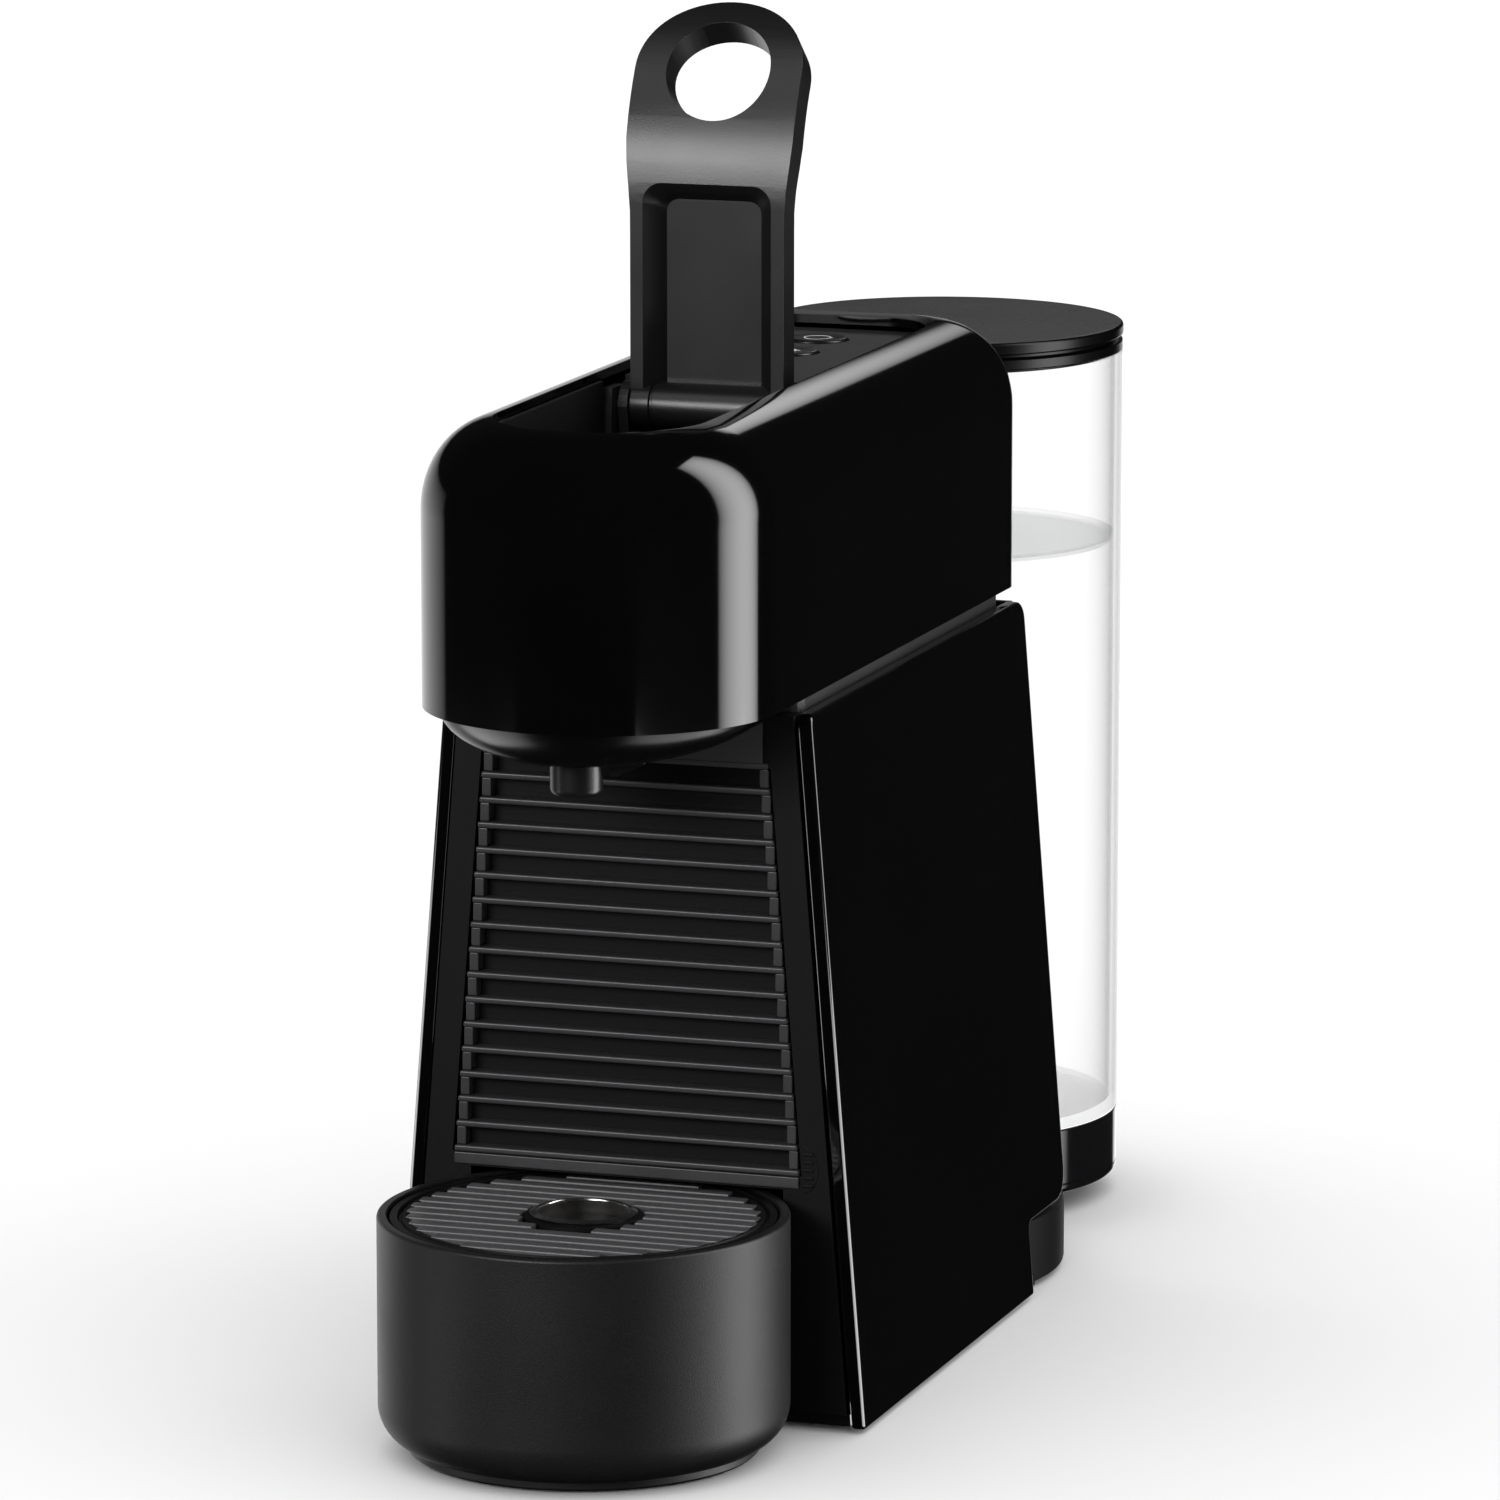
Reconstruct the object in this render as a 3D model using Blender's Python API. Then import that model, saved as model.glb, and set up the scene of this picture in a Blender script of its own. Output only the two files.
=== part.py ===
"""Pod coffee machine: a narrow lever machine with a round drip drum in front and a round tank behind.

Metres, +Z up, front towards -Y. Lengths named ..._Y are measured back from the drip drum's axis, and the
root empty shifts the whole machine so that the origin is under the middle of its bounding box.
"""

import math

import bmesh
import bpy
from mathutils import Matrix, Vector

# ---------------------------------------------------------------- driving dimensions
GAP = 0.0003                 # clearance between pieces that meet
WALL = 0.0022                # moulded wall of the casings
FLOOR_CLEARANCE = 0.0015     # underside of the base above the table

DRUM_RADIUS = 0.0510
DRUM_TOP = 0.0598
DRUM_FOOT_RADIUS = 0.0438
DRUM_BOTTOM = 0.0024         # where the rounded lower edge would meet the drum's underside
DRUM_EDGE = 0.0100

HEAD_HALF = 0.0447           # half width of the head
HEAD_NOSE_Y = 0.0163         # centre of the head's half-round front
HEAD_REAR_Y = 0.2235
HEAD_BOTTOM = 0.1842
HEAD_TOP = 0.2554
HEAD_EDGE_ACROSS = 0.0175    # the head's rounded top edge, measured across and down
HEAD_EDGE_DOWN = 0.0225
OPENING_HALF = 0.0268        # half width of the opening in the head's top
OPENING_REAR_Y = 0.2070

PANEL_TOP = 0.1810
PANEL_BOTTOM = 0.0012
PANEL_TOP_HALF = 0.0481
PANEL_BOTTOM_HALF = 0.0625
PANEL_FRONT_Y = 0.0324
PANEL_REAR_Y = 0.2142
PANEL_WALL = 0.0026
NOTCH_Y = 0.1795             # front end of the notch that the tank arm swings through
NOTCH_TOP = 0.0205

TANK_Y = 0.2966
TANK_RADIUS = 0.0489
TANK_WALL = 0.0020
LID_RADIUS = 0.0491
LID_TOP = 0.2427
LID_BOTTOM = 0.2352
TANK_FLOOR = 0.0243
TANK_SKIRT_BOTTOM = 0.0060

ARM_Y = 0.2040               # vertical axis that the tank arm swings about
ARM_RADIUS = 0.0605
ARM_TOP = 0.0190
BOSS_RADIUS = 0.0150         # fixed boss that the arm turns about
DOCK_RADIUS = 0.0340
DOCK_TOP = 0.0042

LEVER_Y = 0.0990             # hinge axis of the lever
LEVER_Z = 0.2460
LEVER_HALF = 0.0204
LEVER_FRONT = 0.0042         # front face of the raised lever, ahead of its axis
LEVER_THICK = 0.0086
LEVER_BEND_Z = 0.3060        # where the grip leans back
LEVER_LENGTH = 0.1071        # from the hinge axis to the grip's end
GRIP_LEAN = math.radians(28)
GRIP_HALF = 0.0221
RING_RADIUS = 0.0137
PIN_RADIUS = 0.0025
CRANK_RADIUS = 0.0120

RIB_PITCH = 0.00638
RIB_COUNT = 16
RIB_THICK = 0.0011
SLAT_PITCH = 0.0059

WELL_RADIUS = 0.0124         # outside of the steel well in the grid
MOUTH_HALF = 0.0412          # opening low in the front that the drawer slides through
MOUTH_TOP = 0.0614

CAPSULE_GAP_Y = (0.0405, 0.0700)      # where the capsule drops between plate and cage
CAPSULE_Z = 0.2120                    # axis of the brewing chamber
SPOUT_Y = -0.0040

SCREW_PLACES = [(-0.050, 0.072), (0.050, 0.072), (-0.050, 0.120), (0.050, 0.120)]
FRONT_FOOT = (0.050, 0.048)
TRAY_TOP = 0.0045
TRAY_DECK_TOP = 0.0228       # raised rear of the tray, over the tank arm

PUMP_X = 0.0080
PUMP_Y = 0.1220              # tip of the pump's inlet
PUMP_Z = 0.0660
PUMP_LENGTH = 0.0760
METER = (-0.0300, 0.1500, 0.0420)     # centre of the flow meter
GLAND = (-0.0300, 0, 0.0400)          # axis of the mains lead's bushing
COVER_INSIDE_Y = PANEL_REAR_Y - 0.0038
COVER_OUTSIDE_Y = PANEL_REAR_Y - 0.0014

CENTRE_Y = (TANK_Y + LID_RADIUS - DRUM_RADIUS) / 2
PANEL_SLOPE = (PANEL_BOTTOM_HALF - PANEL_TOP_HALF) / (PANEL_TOP - PANEL_BOTTOM)

# ---------------------------------------------------------------- scene, bodies and materials
for old in list(bpy.data.objects):
    bpy.data.objects.remove(old, do_unlink=True)


def empty(name, place, parent=None):
    marker = bpy.data.objects.new(name, None)
    marker.location = place
    marker.parent = parent
    bpy.context.collection.objects.link(marker)
    return marker


ROOT = empty("machine", (0, -CENTRE_Y, 0))
PIVOTS = {
    "lever": (0, LEVER_Y, LEVER_Z),
    "plate": (0, CAPSULE_GAP_Y[0], CAPSULE_Z),
    "drawer": (0, 0, 0),
    "arm": (0, ARM_Y, 0),
    "tank": (0, TANK_Y, TANK_FLOOR),
    "lid": (0, TANK_Y, LID_BOTTOM),
    "valve": (0, TANK_Y, TANK_FLOOR),
    "button_a": (0, 0.1600, 0.2520),
    "button_b": (0, 0.1850, 0.2520),
}
PIVOT_EMPTIES = {name: empty("axis_" + name, place, ROOT) for name, place in PIVOTS.items()}


def material(name, colour, roughness, metallic=0.0):
    new = bpy.data.materials.new(name)
    new.use_nodes = True
    shader = new.node_tree.nodes["Principled BSDF"]
    shader.inputs["Base Color"].default_value = (*colour, 1)
    shader.inputs["Roughness"].default_value = roughness
    shader.inputs["Metallic"].default_value = metallic
    new.diffuse_color = (*colour, 1)
    return new


GLOSS_BLACK = material("gloss_black", (0.008, 0.008, 0.009), 0.08)
SATIN_BLACK = material("satin_black", (0.018, 0.018, 0.020), 0.38)
MATTE_BLACK = material("matte_black", (0.022, 0.022, 0.024), 0.60)
SMOKY = material("smoky_plastic", (0.05, 0.05, 0.055), 0.12)
CLEAR = material("clear_plastic", (0.93, 0.95, 0.96), 0.05)
STEEL = material("brushed_steel", (0.62, 0.62, 0.60), 0.28, 1.0)
CAST = material("cast_aluminium", (0.55, 0.55, 0.55), 0.5, 1.0)
RUBBER = material("black_rubber", (0.03, 0.03, 0.03), 0.85)
SILICONE = material("silicone", (0.75, 0.74, 0.70), 0.5)
BOARD_GREEN = material("board", (0.02, 0.14, 0.06), 0.5)


# ---------------------------------------------------------------- modelling helpers
def make(name, bm, finish, body=None):
    """Turns a bmesh in machine coordinates into an object hung on its body's axis."""
    bmesh.ops.remove_doubles(bm, verts=bm.verts, dist=1e-7)
    bmesh.ops.recalc_face_normals(bm, faces=bm.faces)
    pivot = Vector(PIVOTS[body]) if body else Vector()
    bmesh.ops.translate(bm, verts=bm.verts, vec=-pivot)
    mesh = bpy.data.meshes.new(name)
    bm.to_mesh(mesh)
    bm.free()
    mesh.shade_smooth()
    mesh.set_sharp_from_angle(angle=math.radians(35))
    mesh.materials.append(finish)
    piece = bpy.data.objects.new(name, mesh)
    piece.parent = PIVOT_EMPTIES[body] if body else ROOT
    bpy.context.collection.objects.link(piece)
    return piece


def add_prism(bm, outline, axis, low, high):
    """Extrudes an outline along one axis; its pairs are the other two coordinates, in X, Y, Z order."""
    def corner(pair, depth):
        values = list(pair)
        values.insert(axis, depth)
        return values

    face = bm.faces.new([bm.verts.new(corner(pair, low)) for pair in outline])
    grown = bmesh.ops.extrude_face_region(bm, geom=[face])
    moved = [item for item in grown["geom"] if isinstance(item, bmesh.types.BMVert)]
    step = [0, 0, 0]
    step[axis] = high - low
    bmesh.ops.translate(bm, verts=moved, vec=step)


def add_box(bm, x_range, y_range, z_range):
    left, right = x_range
    front, back = y_range
    add_prism(bm, [(left, front), (right, front), (right, back), (left, back)], 2, *z_range)


def add_turned(bm, profile, centre, steps, axis=2, closed=False):
    """Spins a profile of (radius, height) pairs about an axis through centre."""
    def point(radius, height):
        values = [(height, radius, 0), (radius, height, 0), (radius, 0, height)][axis]
        return Vector(centre) + Vector(values)

    verts = [bm.verts.new(point(*pair)) for pair in profile]
    edges = [bm.edges.new(pair) for pair in zip(verts, verts[1:])]
    if closed:
        edges.append(bm.edges.new((verts[-1], verts[0])))
    direction = [0, 0, 0]
    direction[axis] = 1
    bmesh.ops.spin(bm, geom=verts + edges, cent=centre, axis=direction, angle=math.tau, steps=steps,
                   use_merge=True)
    bmesh.ops.remove_doubles(bm, verts=bm.verts, dist=1e-7)


def add_loft(bm, loops, ring=False):
    """Skins a stack of equal loops; a ring joins the last loop to the first, else the ends are capped."""
    rows = [[bm.verts.new(point) for point in loop] for loop in loops]
    pairs = list(zip(rows, rows[1:]))
    if ring:
        pairs.append((rows[-1], rows[0]))
    else:
        bm.faces.new(rows[0])
        bm.faces.new(rows[-1])
    for lower, upper in pairs:
        for i in range(len(lower)):
            j = (i + 1) % len(lower)
            bm.faces.new((lower[i], lower[j], upper[j], upper[i]))


def prism(name, finish, outline, axis, low, high, body=None):
    bm = bmesh.new()
    add_prism(bm, outline, axis, low, high)
    return make(name, bm, finish, body)


def box(name, finish, x_range, y_range, z_range, body=None):
    bm = bmesh.new()
    add_box(bm, x_range, y_range, z_range)
    return make(name, bm, finish, body)


def turned(name, finish, profile, centre, steps, axis=2, closed=False, body=None):
    bm = bmesh.new()
    add_turned(bm, profile, centre, steps, axis, closed)
    return make(name, bm, finish, body)


def boolean(piece, other, operation):
    """Cuts, joins or crosses a piece with a helper shape that the build leaves out."""
    other.hide_render = True
    other.display_type = "WIRE"
    modifier = piece.modifiers.new(operation.title(), "BOOLEAN")
    modifier.operation = operation
    modifier.object = other
    modifier.solver = "EXACT"


def cut(piece, other):
    boolean(piece, other, "DIFFERENCE")


def join(piece, other):
    boolean(piece, other, "UNION")


def soften(piece, width, segments=1, angle=40):
    modifier = piece.modifiers.new("Bevel", "BEVEL")
    modifier.width = width
    modifier.segments = segments
    modifier.limit_method = "ANGLE"
    modifier.angle_limit = math.radians(angle)


def rounded(x_range, y_range, radius, steps=4):
    """A rectangle's outline with round corners."""
    points = []
    corners = [(x_range[1], y_range[0], -90), (x_range[1], y_range[1], 0), (x_range[0], y_range[1], 90),
               (x_range[0], y_range[0], 180)]
    for x, y, start in corners:
        cx = x - math.copysign(radius, x - sum(x_range) / 2)
        cy = y - math.copysign(radius, y - sum(y_range) / 2)
        for i in range(steps + 1):
            angle = math.radians(start + 90 * i / steps)
            points.append((cx + radius * math.cos(angle), cy + radius * math.sin(angle)))
    return points


def nosed(half, nose_y, rear_y, steps=20):
    """The outline of the head: a half-round front and a square rear."""
    points = [(half, rear_y), (-half, rear_y)]
    for i in range(steps + 1):
        angle = math.pi + math.pi * i / steps
        points.append((half * math.cos(angle), nose_y + half * math.sin(angle)))
    return points


def disc(radius, height, lift=0.0):
    """Profile of a plain disc or shaft from lift up to lift + height."""
    return [(0, lift), (radius, lift), (radius, lift + height), (0, lift + height)]


def panel_half(z):
    """Half width to the outside of the side panels at a height."""
    return PANEL_BOTTOM_HALF - (z - PANEL_BOTTOM) * PANEL_SLOPE


def between_panels(z):
    return panel_half(z) - PANEL_WALL - GAP


# ---------------------------------------------------------------- casing
def side_panel(name, side):
    """A thin gloss plate that leans outwards going down, notched low at the rear for the tank arm."""
    outline = [
        (PANEL_FRONT_Y, PANEL_BOTTOM),
        (NOTCH_Y - 0.001, PANEL_BOTTOM),
        (NOTCH_Y, PANEL_BOTTOM + 0.001),
        (NOTCH_Y, NOTCH_TOP - 0.002),
        (NOTCH_Y + 0.002, NOTCH_TOP),
        (PANEL_REAR_Y - 0.008, NOTCH_TOP),
        (PANEL_REAR_Y - 0.003, NOTCH_TOP + 0.0015),
        (PANEL_REAR_Y - 0.0005, NOTCH_TOP + 0.006),
        (PANEL_REAR_Y, PANEL_TOP - 0.004),
        (PANEL_REAR_Y - 0.004, PANEL_TOP),
        (PANEL_FRONT_Y + 0.002, PANEL_TOP),
        (PANEL_FRONT_Y, PANEL_TOP - 0.002),
    ]
    bm = bmesh.new()
    loops = []
    for depth in (0, PANEL_WALL):
        loops.append([(side * (panel_half(z) - depth), y, z) for y, z in outline])
    add_loft(bm, loops)
    piece = make(name, bm, GLOSS_BLACK)
    soften(piece, 0.0007, 2)


def base_tray():
    """Floor of the body: low in front for the drawer, raised behind over the tank arm, with its boss."""
    half = between_panels(FLOOR_CLEARANCE)
    rear_half = between_panels(NOTCH_TOP + 0.003)
    bm = bmesh.new()
    add_box(bm, (-half, half), (PANEL_FRONT_Y + 0.002, 0.190), (FLOOR_CLEARANCE, TRAY_TOP))
    tray = make("base_tray", bm, MATTE_BLACK)
    deck = box("tool_tray_deck", MATTE_BLACK, (-rear_half, rear_half), (0.1300, 0.2100),
               (0.0198, TRAY_DECK_TOP))
    join(tray, deck)
    step = box("tool_tray_step", MATTE_BLACK, (-rear_half, rear_half), (0.1300, 0.1900), (0.0040, 0.0200))
    join(tray, step)
    swing = turned("tool_tray_swing", MATTE_BLACK, disc(ARM_RADIUS + 0.0010, 0.0188, 0.0008),
                   (0, ARM_Y, 0), 56)
    cut(tray, swing)
    boss = turned("tool_tray_boss", MATTE_BLACK, disc(BOSS_RADIUS, ARM_TOP, FLOOR_CLEARANCE),
                  (0, ARM_Y, 0), 24)
    join(tray, boss)
    front = turned("tool_tray_front", MATTE_BLACK, disc(DRUM_RADIUS + 0.0012, 0.0300, 0), (0, 0, 0), 48)
    cut(tray, front)
    bm = bmesh.new()
    for x, y in SCREW_PLACES:
        add_turned(bm, disc(0.0034, 0.0060, 0), (x, y, 0), 16)
    cut(tray, make("tool_tray_screws", bm, MATTE_BLACK))


def base_screws():
    profile = [(0, 0.0018), (0.0030, 0.0018), (0.0030, 0.0036), (0.0015, 0.0040), (0.0015, 0.0090),
               (0, 0.0096)]
    for number, (x, y) in enumerate(SCREW_PLACES, 1):
        turned(f"base_screw_{number}", STEEL, profile, (x, y, 0), 12)


def feet():
    """Rubber pads: two in front, one under the boss and one under the tank, which swings with it."""
    profile = [(0, 0), (0.0060, 0), (0.0065, 0.0005), (0.0065, 0.0012), (0, 0.0012)]
    x, y = FRONT_FOOT
    turned("foot_left", RUBBER, profile, (-x, y, 0), 16)
    turned("foot_right", RUBBER, profile, (x, y, 0), 16)
    big = [(0, 0), (0.0120, 0), (0.0126, 0.0005), (0.0126, 0.0012), (0, 0.0012)]
    turned("foot_rear", RUBBER, big, (0, ARM_Y, 0), 24)
    turned("arm_foot", RUBBER, big, (0, TANK_Y, 0), 24, body="arm")


def front_grille():
    """The ribbed front between the panels: plain top, thin ribs between pockets, and the drawer's mouth."""
    low = TRAY_TOP + GAP
    high = PANEL_TOP - GAP
    front = PANEL_FRONT_Y - 0.0010
    back = front + 0.0070
    outline = [
        (-between_panels(low), low), (-MOUTH_HALF, low), (-MOUTH_HALF, MOUTH_TOP), (MOUTH_HALF, MOUTH_TOP),
        (MOUTH_HALF, low), (between_panels(low), low), (between_panels(high), high),
               (-between_panels(high), high),
    ]
    grille = prism("front_grille", MATTE_BLACK, outline, 1, front, back)
    bm = bmesh.new()
    for i in range(RIB_COUNT):
        z = MOUTH_TOP + 0.0050 + i * RIB_PITCH
        half = between_panels(z) - 0.0090
        add_box(bm, (-half, half), (front - 0.001, back - 0.0020), (z, z + RIB_PITCH - RIB_THICK))
    cut(grille, make("tool_grille_pockets", bm, MATTE_BLACK))


def rear_cover():
    """Back wall of the body with its cooling slots and the hole for the mains lead's gland."""
    low = 0.0232
    high = PANEL_TOP - GAP
    bm = bmesh.new()
    loops = []
    for y in (COVER_INSIDE_Y, COVER_OUTSIDE_Y):
        loops.append([
            (-between_panels(low), y, low), (between_panels(low), y, low),
            (between_panels(high), y, high), (-between_panels(high), y, high),
        ])
    add_loft(bm, loops)
    cover = make("rear_cover", bm, MATTE_BLACK)
    bm = bmesh.new()
    for i in range(6):
        add_box(bm, (-0.024, 0.024), (0.205, 0.220), (0.120 + i * 0.0075, 0.1232 + i * 0.0075))
    add_turned(bm, disc(0.0054, 0.0200, 0.2030), GLAND, 16, axis=1)
    cut(cover, make("tool_cover_slots", bm, MATTE_BLACK))


def cord_gland():
    """Bushing in the rear cover that the mains lead would leave through."""
    inner = PANEL_REAR_Y - 0.0052
    outer = PANEL_REAR_Y + 0.0030
    profile = [(0.0034, inner), (0.0062, inner), (0.0062, COVER_INSIDE_Y - GAP),
               (0.0048, COVER_INSIDE_Y - GAP),
               (0.0048, COVER_OUTSIDE_Y + GAP), (0.0064, COVER_OUTSIDE_Y + GAP), (0.0052, outer),
               (0.0034, outer)]
    turned("cord_gland", RUBBER, profile, GLAND, 16, axis=1, closed=True)


def top_deck():
    """Plate that closes the body's top and carries the head, with a hole for spent capsules."""
    half = between_panels(PANEL_TOP) - 0.0020
    deck = prism("top_deck", MATTE_BLACK, rounded((-half, half), (0.0390, 0.2080), 0.004), 2, 0.1784,
                 0.1838)
    hole = box("tool_deck_hole", MATTE_BLACK, (-0.0200, 0.0200), (0.0410, 0.0740), (0.1700, 0.1900))
    cut(deck, hole)
    back_hole = box("tool_deck_back", MATTE_BLACK, (-0.0160, 0.0160), (0.1500, 0.1860), (0.1700, 0.1900))
    cut(deck, back_hole)


def head_layers(inset, rear_inset):
    """Loops that climb the head's wall and close in over its round top edge."""
    loops = []
    half = HEAD_HALF - inset
    across = HEAD_EDGE_ACROSS - inset
    down = HEAD_EDGE_DOWN - inset
    top = HEAD_TOP - inset
    rear = HEAD_REAR_Y - rear_inset
    steps = 5
    heights = [(0.0, HEAD_BOTTOM)]
    for i in range(steps + 1):
        angle = math.pi / 2 * i / steps
        heights.append((across * (1 - math.cos(angle)), top - down * (1 - math.sin(angle))))
    for shrink, z in heights:
        loops.append([(x, y, z) for x, y in nosed(half - shrink, HEAD_NOSE_Y, rear)])
    return loops


def head_housing():
    """The gloss shell of the head: round nose, round top edges, flat rear, open below and on top."""
    bm = bmesh.new()
    add_loft(bm, head_layers(0, 0))
    shell = make("head_housing", bm, GLOSS_BLACK)
    bm = bmesh.new()
    inner = head_layers(WALL, WALL)
    inner[0] = [(x, y, HEAD_BOTTOM - 0.004) for x, y, _ in inner[0]]
    add_loft(bm, inner)
    cut(shell, make("tool_head_inside", bm, GLOSS_BLACK))
    outline = nosed(OPENING_HALF, HEAD_NOSE_Y - 0.0010, OPENING_REAR_Y)
    cut(shell, prism("tool_head_opening", GLOSS_BLACK, outline, 2, HEAD_TOP - 0.008, HEAD_TOP + 0.01))


def head_base():
    """Plate that closes the head from below."""
    outline = nosed(HEAD_HALF - WALL - GAP, HEAD_NOSE_Y, HEAD_REAR_Y - WALL - GAP)
    plate = prism("head_base", MATTE_BLACK, outline, 2, HEAD_BOTTOM, HEAD_BOTTOM + 0.0025)
    cut(plate, box("tool_base_chute", MATTE_BLACK, (-0.0200, 0.0200), (0.0410, 0.0740), (0.18, 0.19)))
    cut(plate, box("tool_base_back", MATTE_BLACK, (-0.0160, 0.0160), (0.1500, 0.1860), (0.18, 0.19)))
    cut(plate, turned("tool_base_spout", MATTE_BLACK, disc(0.0050, 0.02, 0.18), (0, SPOUT_Y, 0), 24))


def spout_bowl():
    """Shallow bowl under the head's nose that carries the outlet."""
    loops = []
    rear = PANEL_FRONT_Y - 0.0022
    for half, nose_y, z in ((0.0400, 0.0150, 0.1838), (0.0340, 0.0090, 0.1795), (0.0240, 0.0020, 0.1760),
                            (0.0120, -0.0040, 0.1742)):
        shape = nosed(half, nose_y, rear)
        loops.append([(x, y, z) for x, y in shape])
    bm = bmesh.new()
    add_loft(bm, loops)
    bowl = make("spout_bowl", bm, GLOSS_BLACK)
    cut(bowl, turned("tool_bowl_hole", GLOSS_BLACK, disc(0.0050, 0.03, 0.16), (0, SPOUT_Y, 0), 24))


def outlet_nozzle():
    """Short tube that pours into the cup, with a collar under the bowl and a neck up through it."""
    profile = [(0.0030, 0.1650), (0.0058, 0.1650), (0.0065, 0.1660), (0.0065, 0.1738), (0.0046, 0.1738),
               (0.0046, 0.1890), (0.0030, 0.1890)]
    turned("outlet_nozzle", SATIN_BLACK, profile, (0, SPOUT_Y, 0), 24, closed=True)


# ---------------------------------------------------------------- controls in the head's top
def control_plate():
    """Matte plate behind the lever that the two cup buttons sit in."""
    half = OPENING_HALF - GAP
    plate = box("control_plate", MATTE_BLACK, (-half, half), (0.1080, OPENING_REAR_Y - GAP),
                (0.2500, 0.2520))
    bm = bmesh.new()
    for body in ("button_a", "button_b"):
        add_turned(bm, disc(0.0083, 0.01, 0.245), (0, PIVOTS[body][1], 0), 24)
    cut(plate, make("tool_plate_holes", bm, MATTE_BLACK))


def button(name, body):
    """Round cup button on a short stem."""
    y = PIVOTS[body][1]
    profile = [(0, 0.2470), (0.0030, 0.2470), (0.0030, 0.2490), (0.0079, 0.2490), (0.0079, 0.2522),
               (0.0073, 0.2527), (0, 0.2527)]
    turned(name, SATIN_BLACK, profile, (0, y, 0), 24, body=body)


def button_board():
    """Small circuit board under the buttons, hung from the plate on two pillars."""
    board = box("button_board", BOARD_GREEN, (-0.0220, 0.0220), (0.1450, 0.2000), (0.2430, 0.2446))
    bm = bmesh.new()
    for x in (-0.0190, 0.0190):
        middle_y = (PIVOTS["button_a"][1] + PIVOTS["button_b"][1]) / 2
        add_turned(bm, disc(0.0020, 0.0060, 0.2437), (x, middle_y, 0), 8)
    join(board, make("tool_board_pillars", bm, BOARD_GREEN))


def capsule_bay():
    """Sunken liner in front of the lever, which folds down into it; capsules drop through its slot."""
    bm = bmesh.new()
    outer = nosed(OPENING_HALF - GAP, HEAD_NOSE_Y - 0.001, 0.0880)
    add_prism(bm, outer, 2, 0.2340, 0.2532)
    bay = make("capsule_bay", bm, MATTE_BLACK)
    inner = nosed(OPENING_HALF - 0.0018, HEAD_NOSE_Y - 0.001, 0.0900)
    cut(bay, prism("tool_bay_inside", MATTE_BLACK, inner, 2, 0.2356, 0.26))
    slot = rounded((-0.0175, 0.0175), (CAPSULE_GAP_Y[0] + 0.001, CAPSULE_GAP_Y[1] - 0.0005), 0.006)
    cut(bay, prism("tool_bay_slot", MATTE_BLACK, slot, 2, 0.23, 0.24))


# ---------------------------------------------------------------- lever and brewing unit
def lever():
    """Flat lever with a channel down its front and a leaning grip with a finger ring."""
    front = LEVER_Y - LEVER_FRONT
    back = front + LEVER_THICK
    piece = box("lever", SATIN_BLACK, (-LEVER_HALF, LEVER_HALF), (front, back), (LEVER_Z, LEVER_BEND_Z),
                "lever")
    barrel = turned("tool_lever_barrel", SATIN_BLACK, disc(0.0062, 2 * LEVER_HALF, -LEVER_HALF),
                    (0, LEVER_Y, LEVER_Z), 28, axis=0, body="lever")
    join(piece, barrel)
    length = LEVER_LENGTH - (LEVER_BEND_Z - LEVER_Z)
    arc_centre = length - GRIP_HALF * 0.92
    outline = [(-LEVER_HALF, -0.0040), (LEVER_HALF, -0.0040), (GRIP_HALF, 0.0100)]
    for i in range(17):
        angle = math.pi * i / 16
        outline.append((GRIP_HALF * math.cos(angle), arc_centre + GRIP_HALF * 0.92 * math.sin(angle)))
    outline.append((-GRIP_HALF, 0.0100))
    bm = bmesh.new()
    add_prism(bm, outline, 1, 0.0, LEVER_THICK)
    lean_grip(bm)
    join(piece, make("tool_lever_grip", bm, SATIN_BLACK, "lever"))
    bm = bmesh.new()
    add_turned(bm, disc(RING_RADIUS, 0.03, -0.01), (0, 0, arc_centre - 0.0010), 32, axis=1)
    lean_grip(bm)
    cut(piece, make("tool_lever_ring", bm, SATIN_BLACK, "lever"))
    channel = rounded((-0.0160, 0.0160), (LEVER_Z + 0.0075, LEVER_BEND_Z - 0.0030), 0.0050)
    cut(piece, prism("tool_lever_channel", SATIN_BLACK, channel, 1, front - 0.01, front + 0.0052, "lever"))
    bore = turned("tool_lever_bore", SATIN_BLACK, disc(PIN_RADIUS + 0.0003, 0.06, -0.03),
                  (0, LEVER_Y, LEVER_Z), 20, axis=0, body="lever")
    cut(piece, bore)


def lean_grip(bm):
    """Tips a shape drawn upright at the bend back by the grip's lean and lifts it to the bend."""
    bmesh.ops.transform(bm, matrix=Matrix.Rotation(-GRIP_LEAN, 4, "X"), verts=bm.verts)
    bmesh.ops.translate(bm, verts=bm.verts, vec=(0, LEVER_Y - LEVER_FRONT, LEVER_BEND_Z))


def lever_pin():
    turned("lever_pin", STEEL, disc(PIN_RADIUS, 0.0532, -0.0266), (0, LEVER_Y, LEVER_Z), 20, axis=0)


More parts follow.
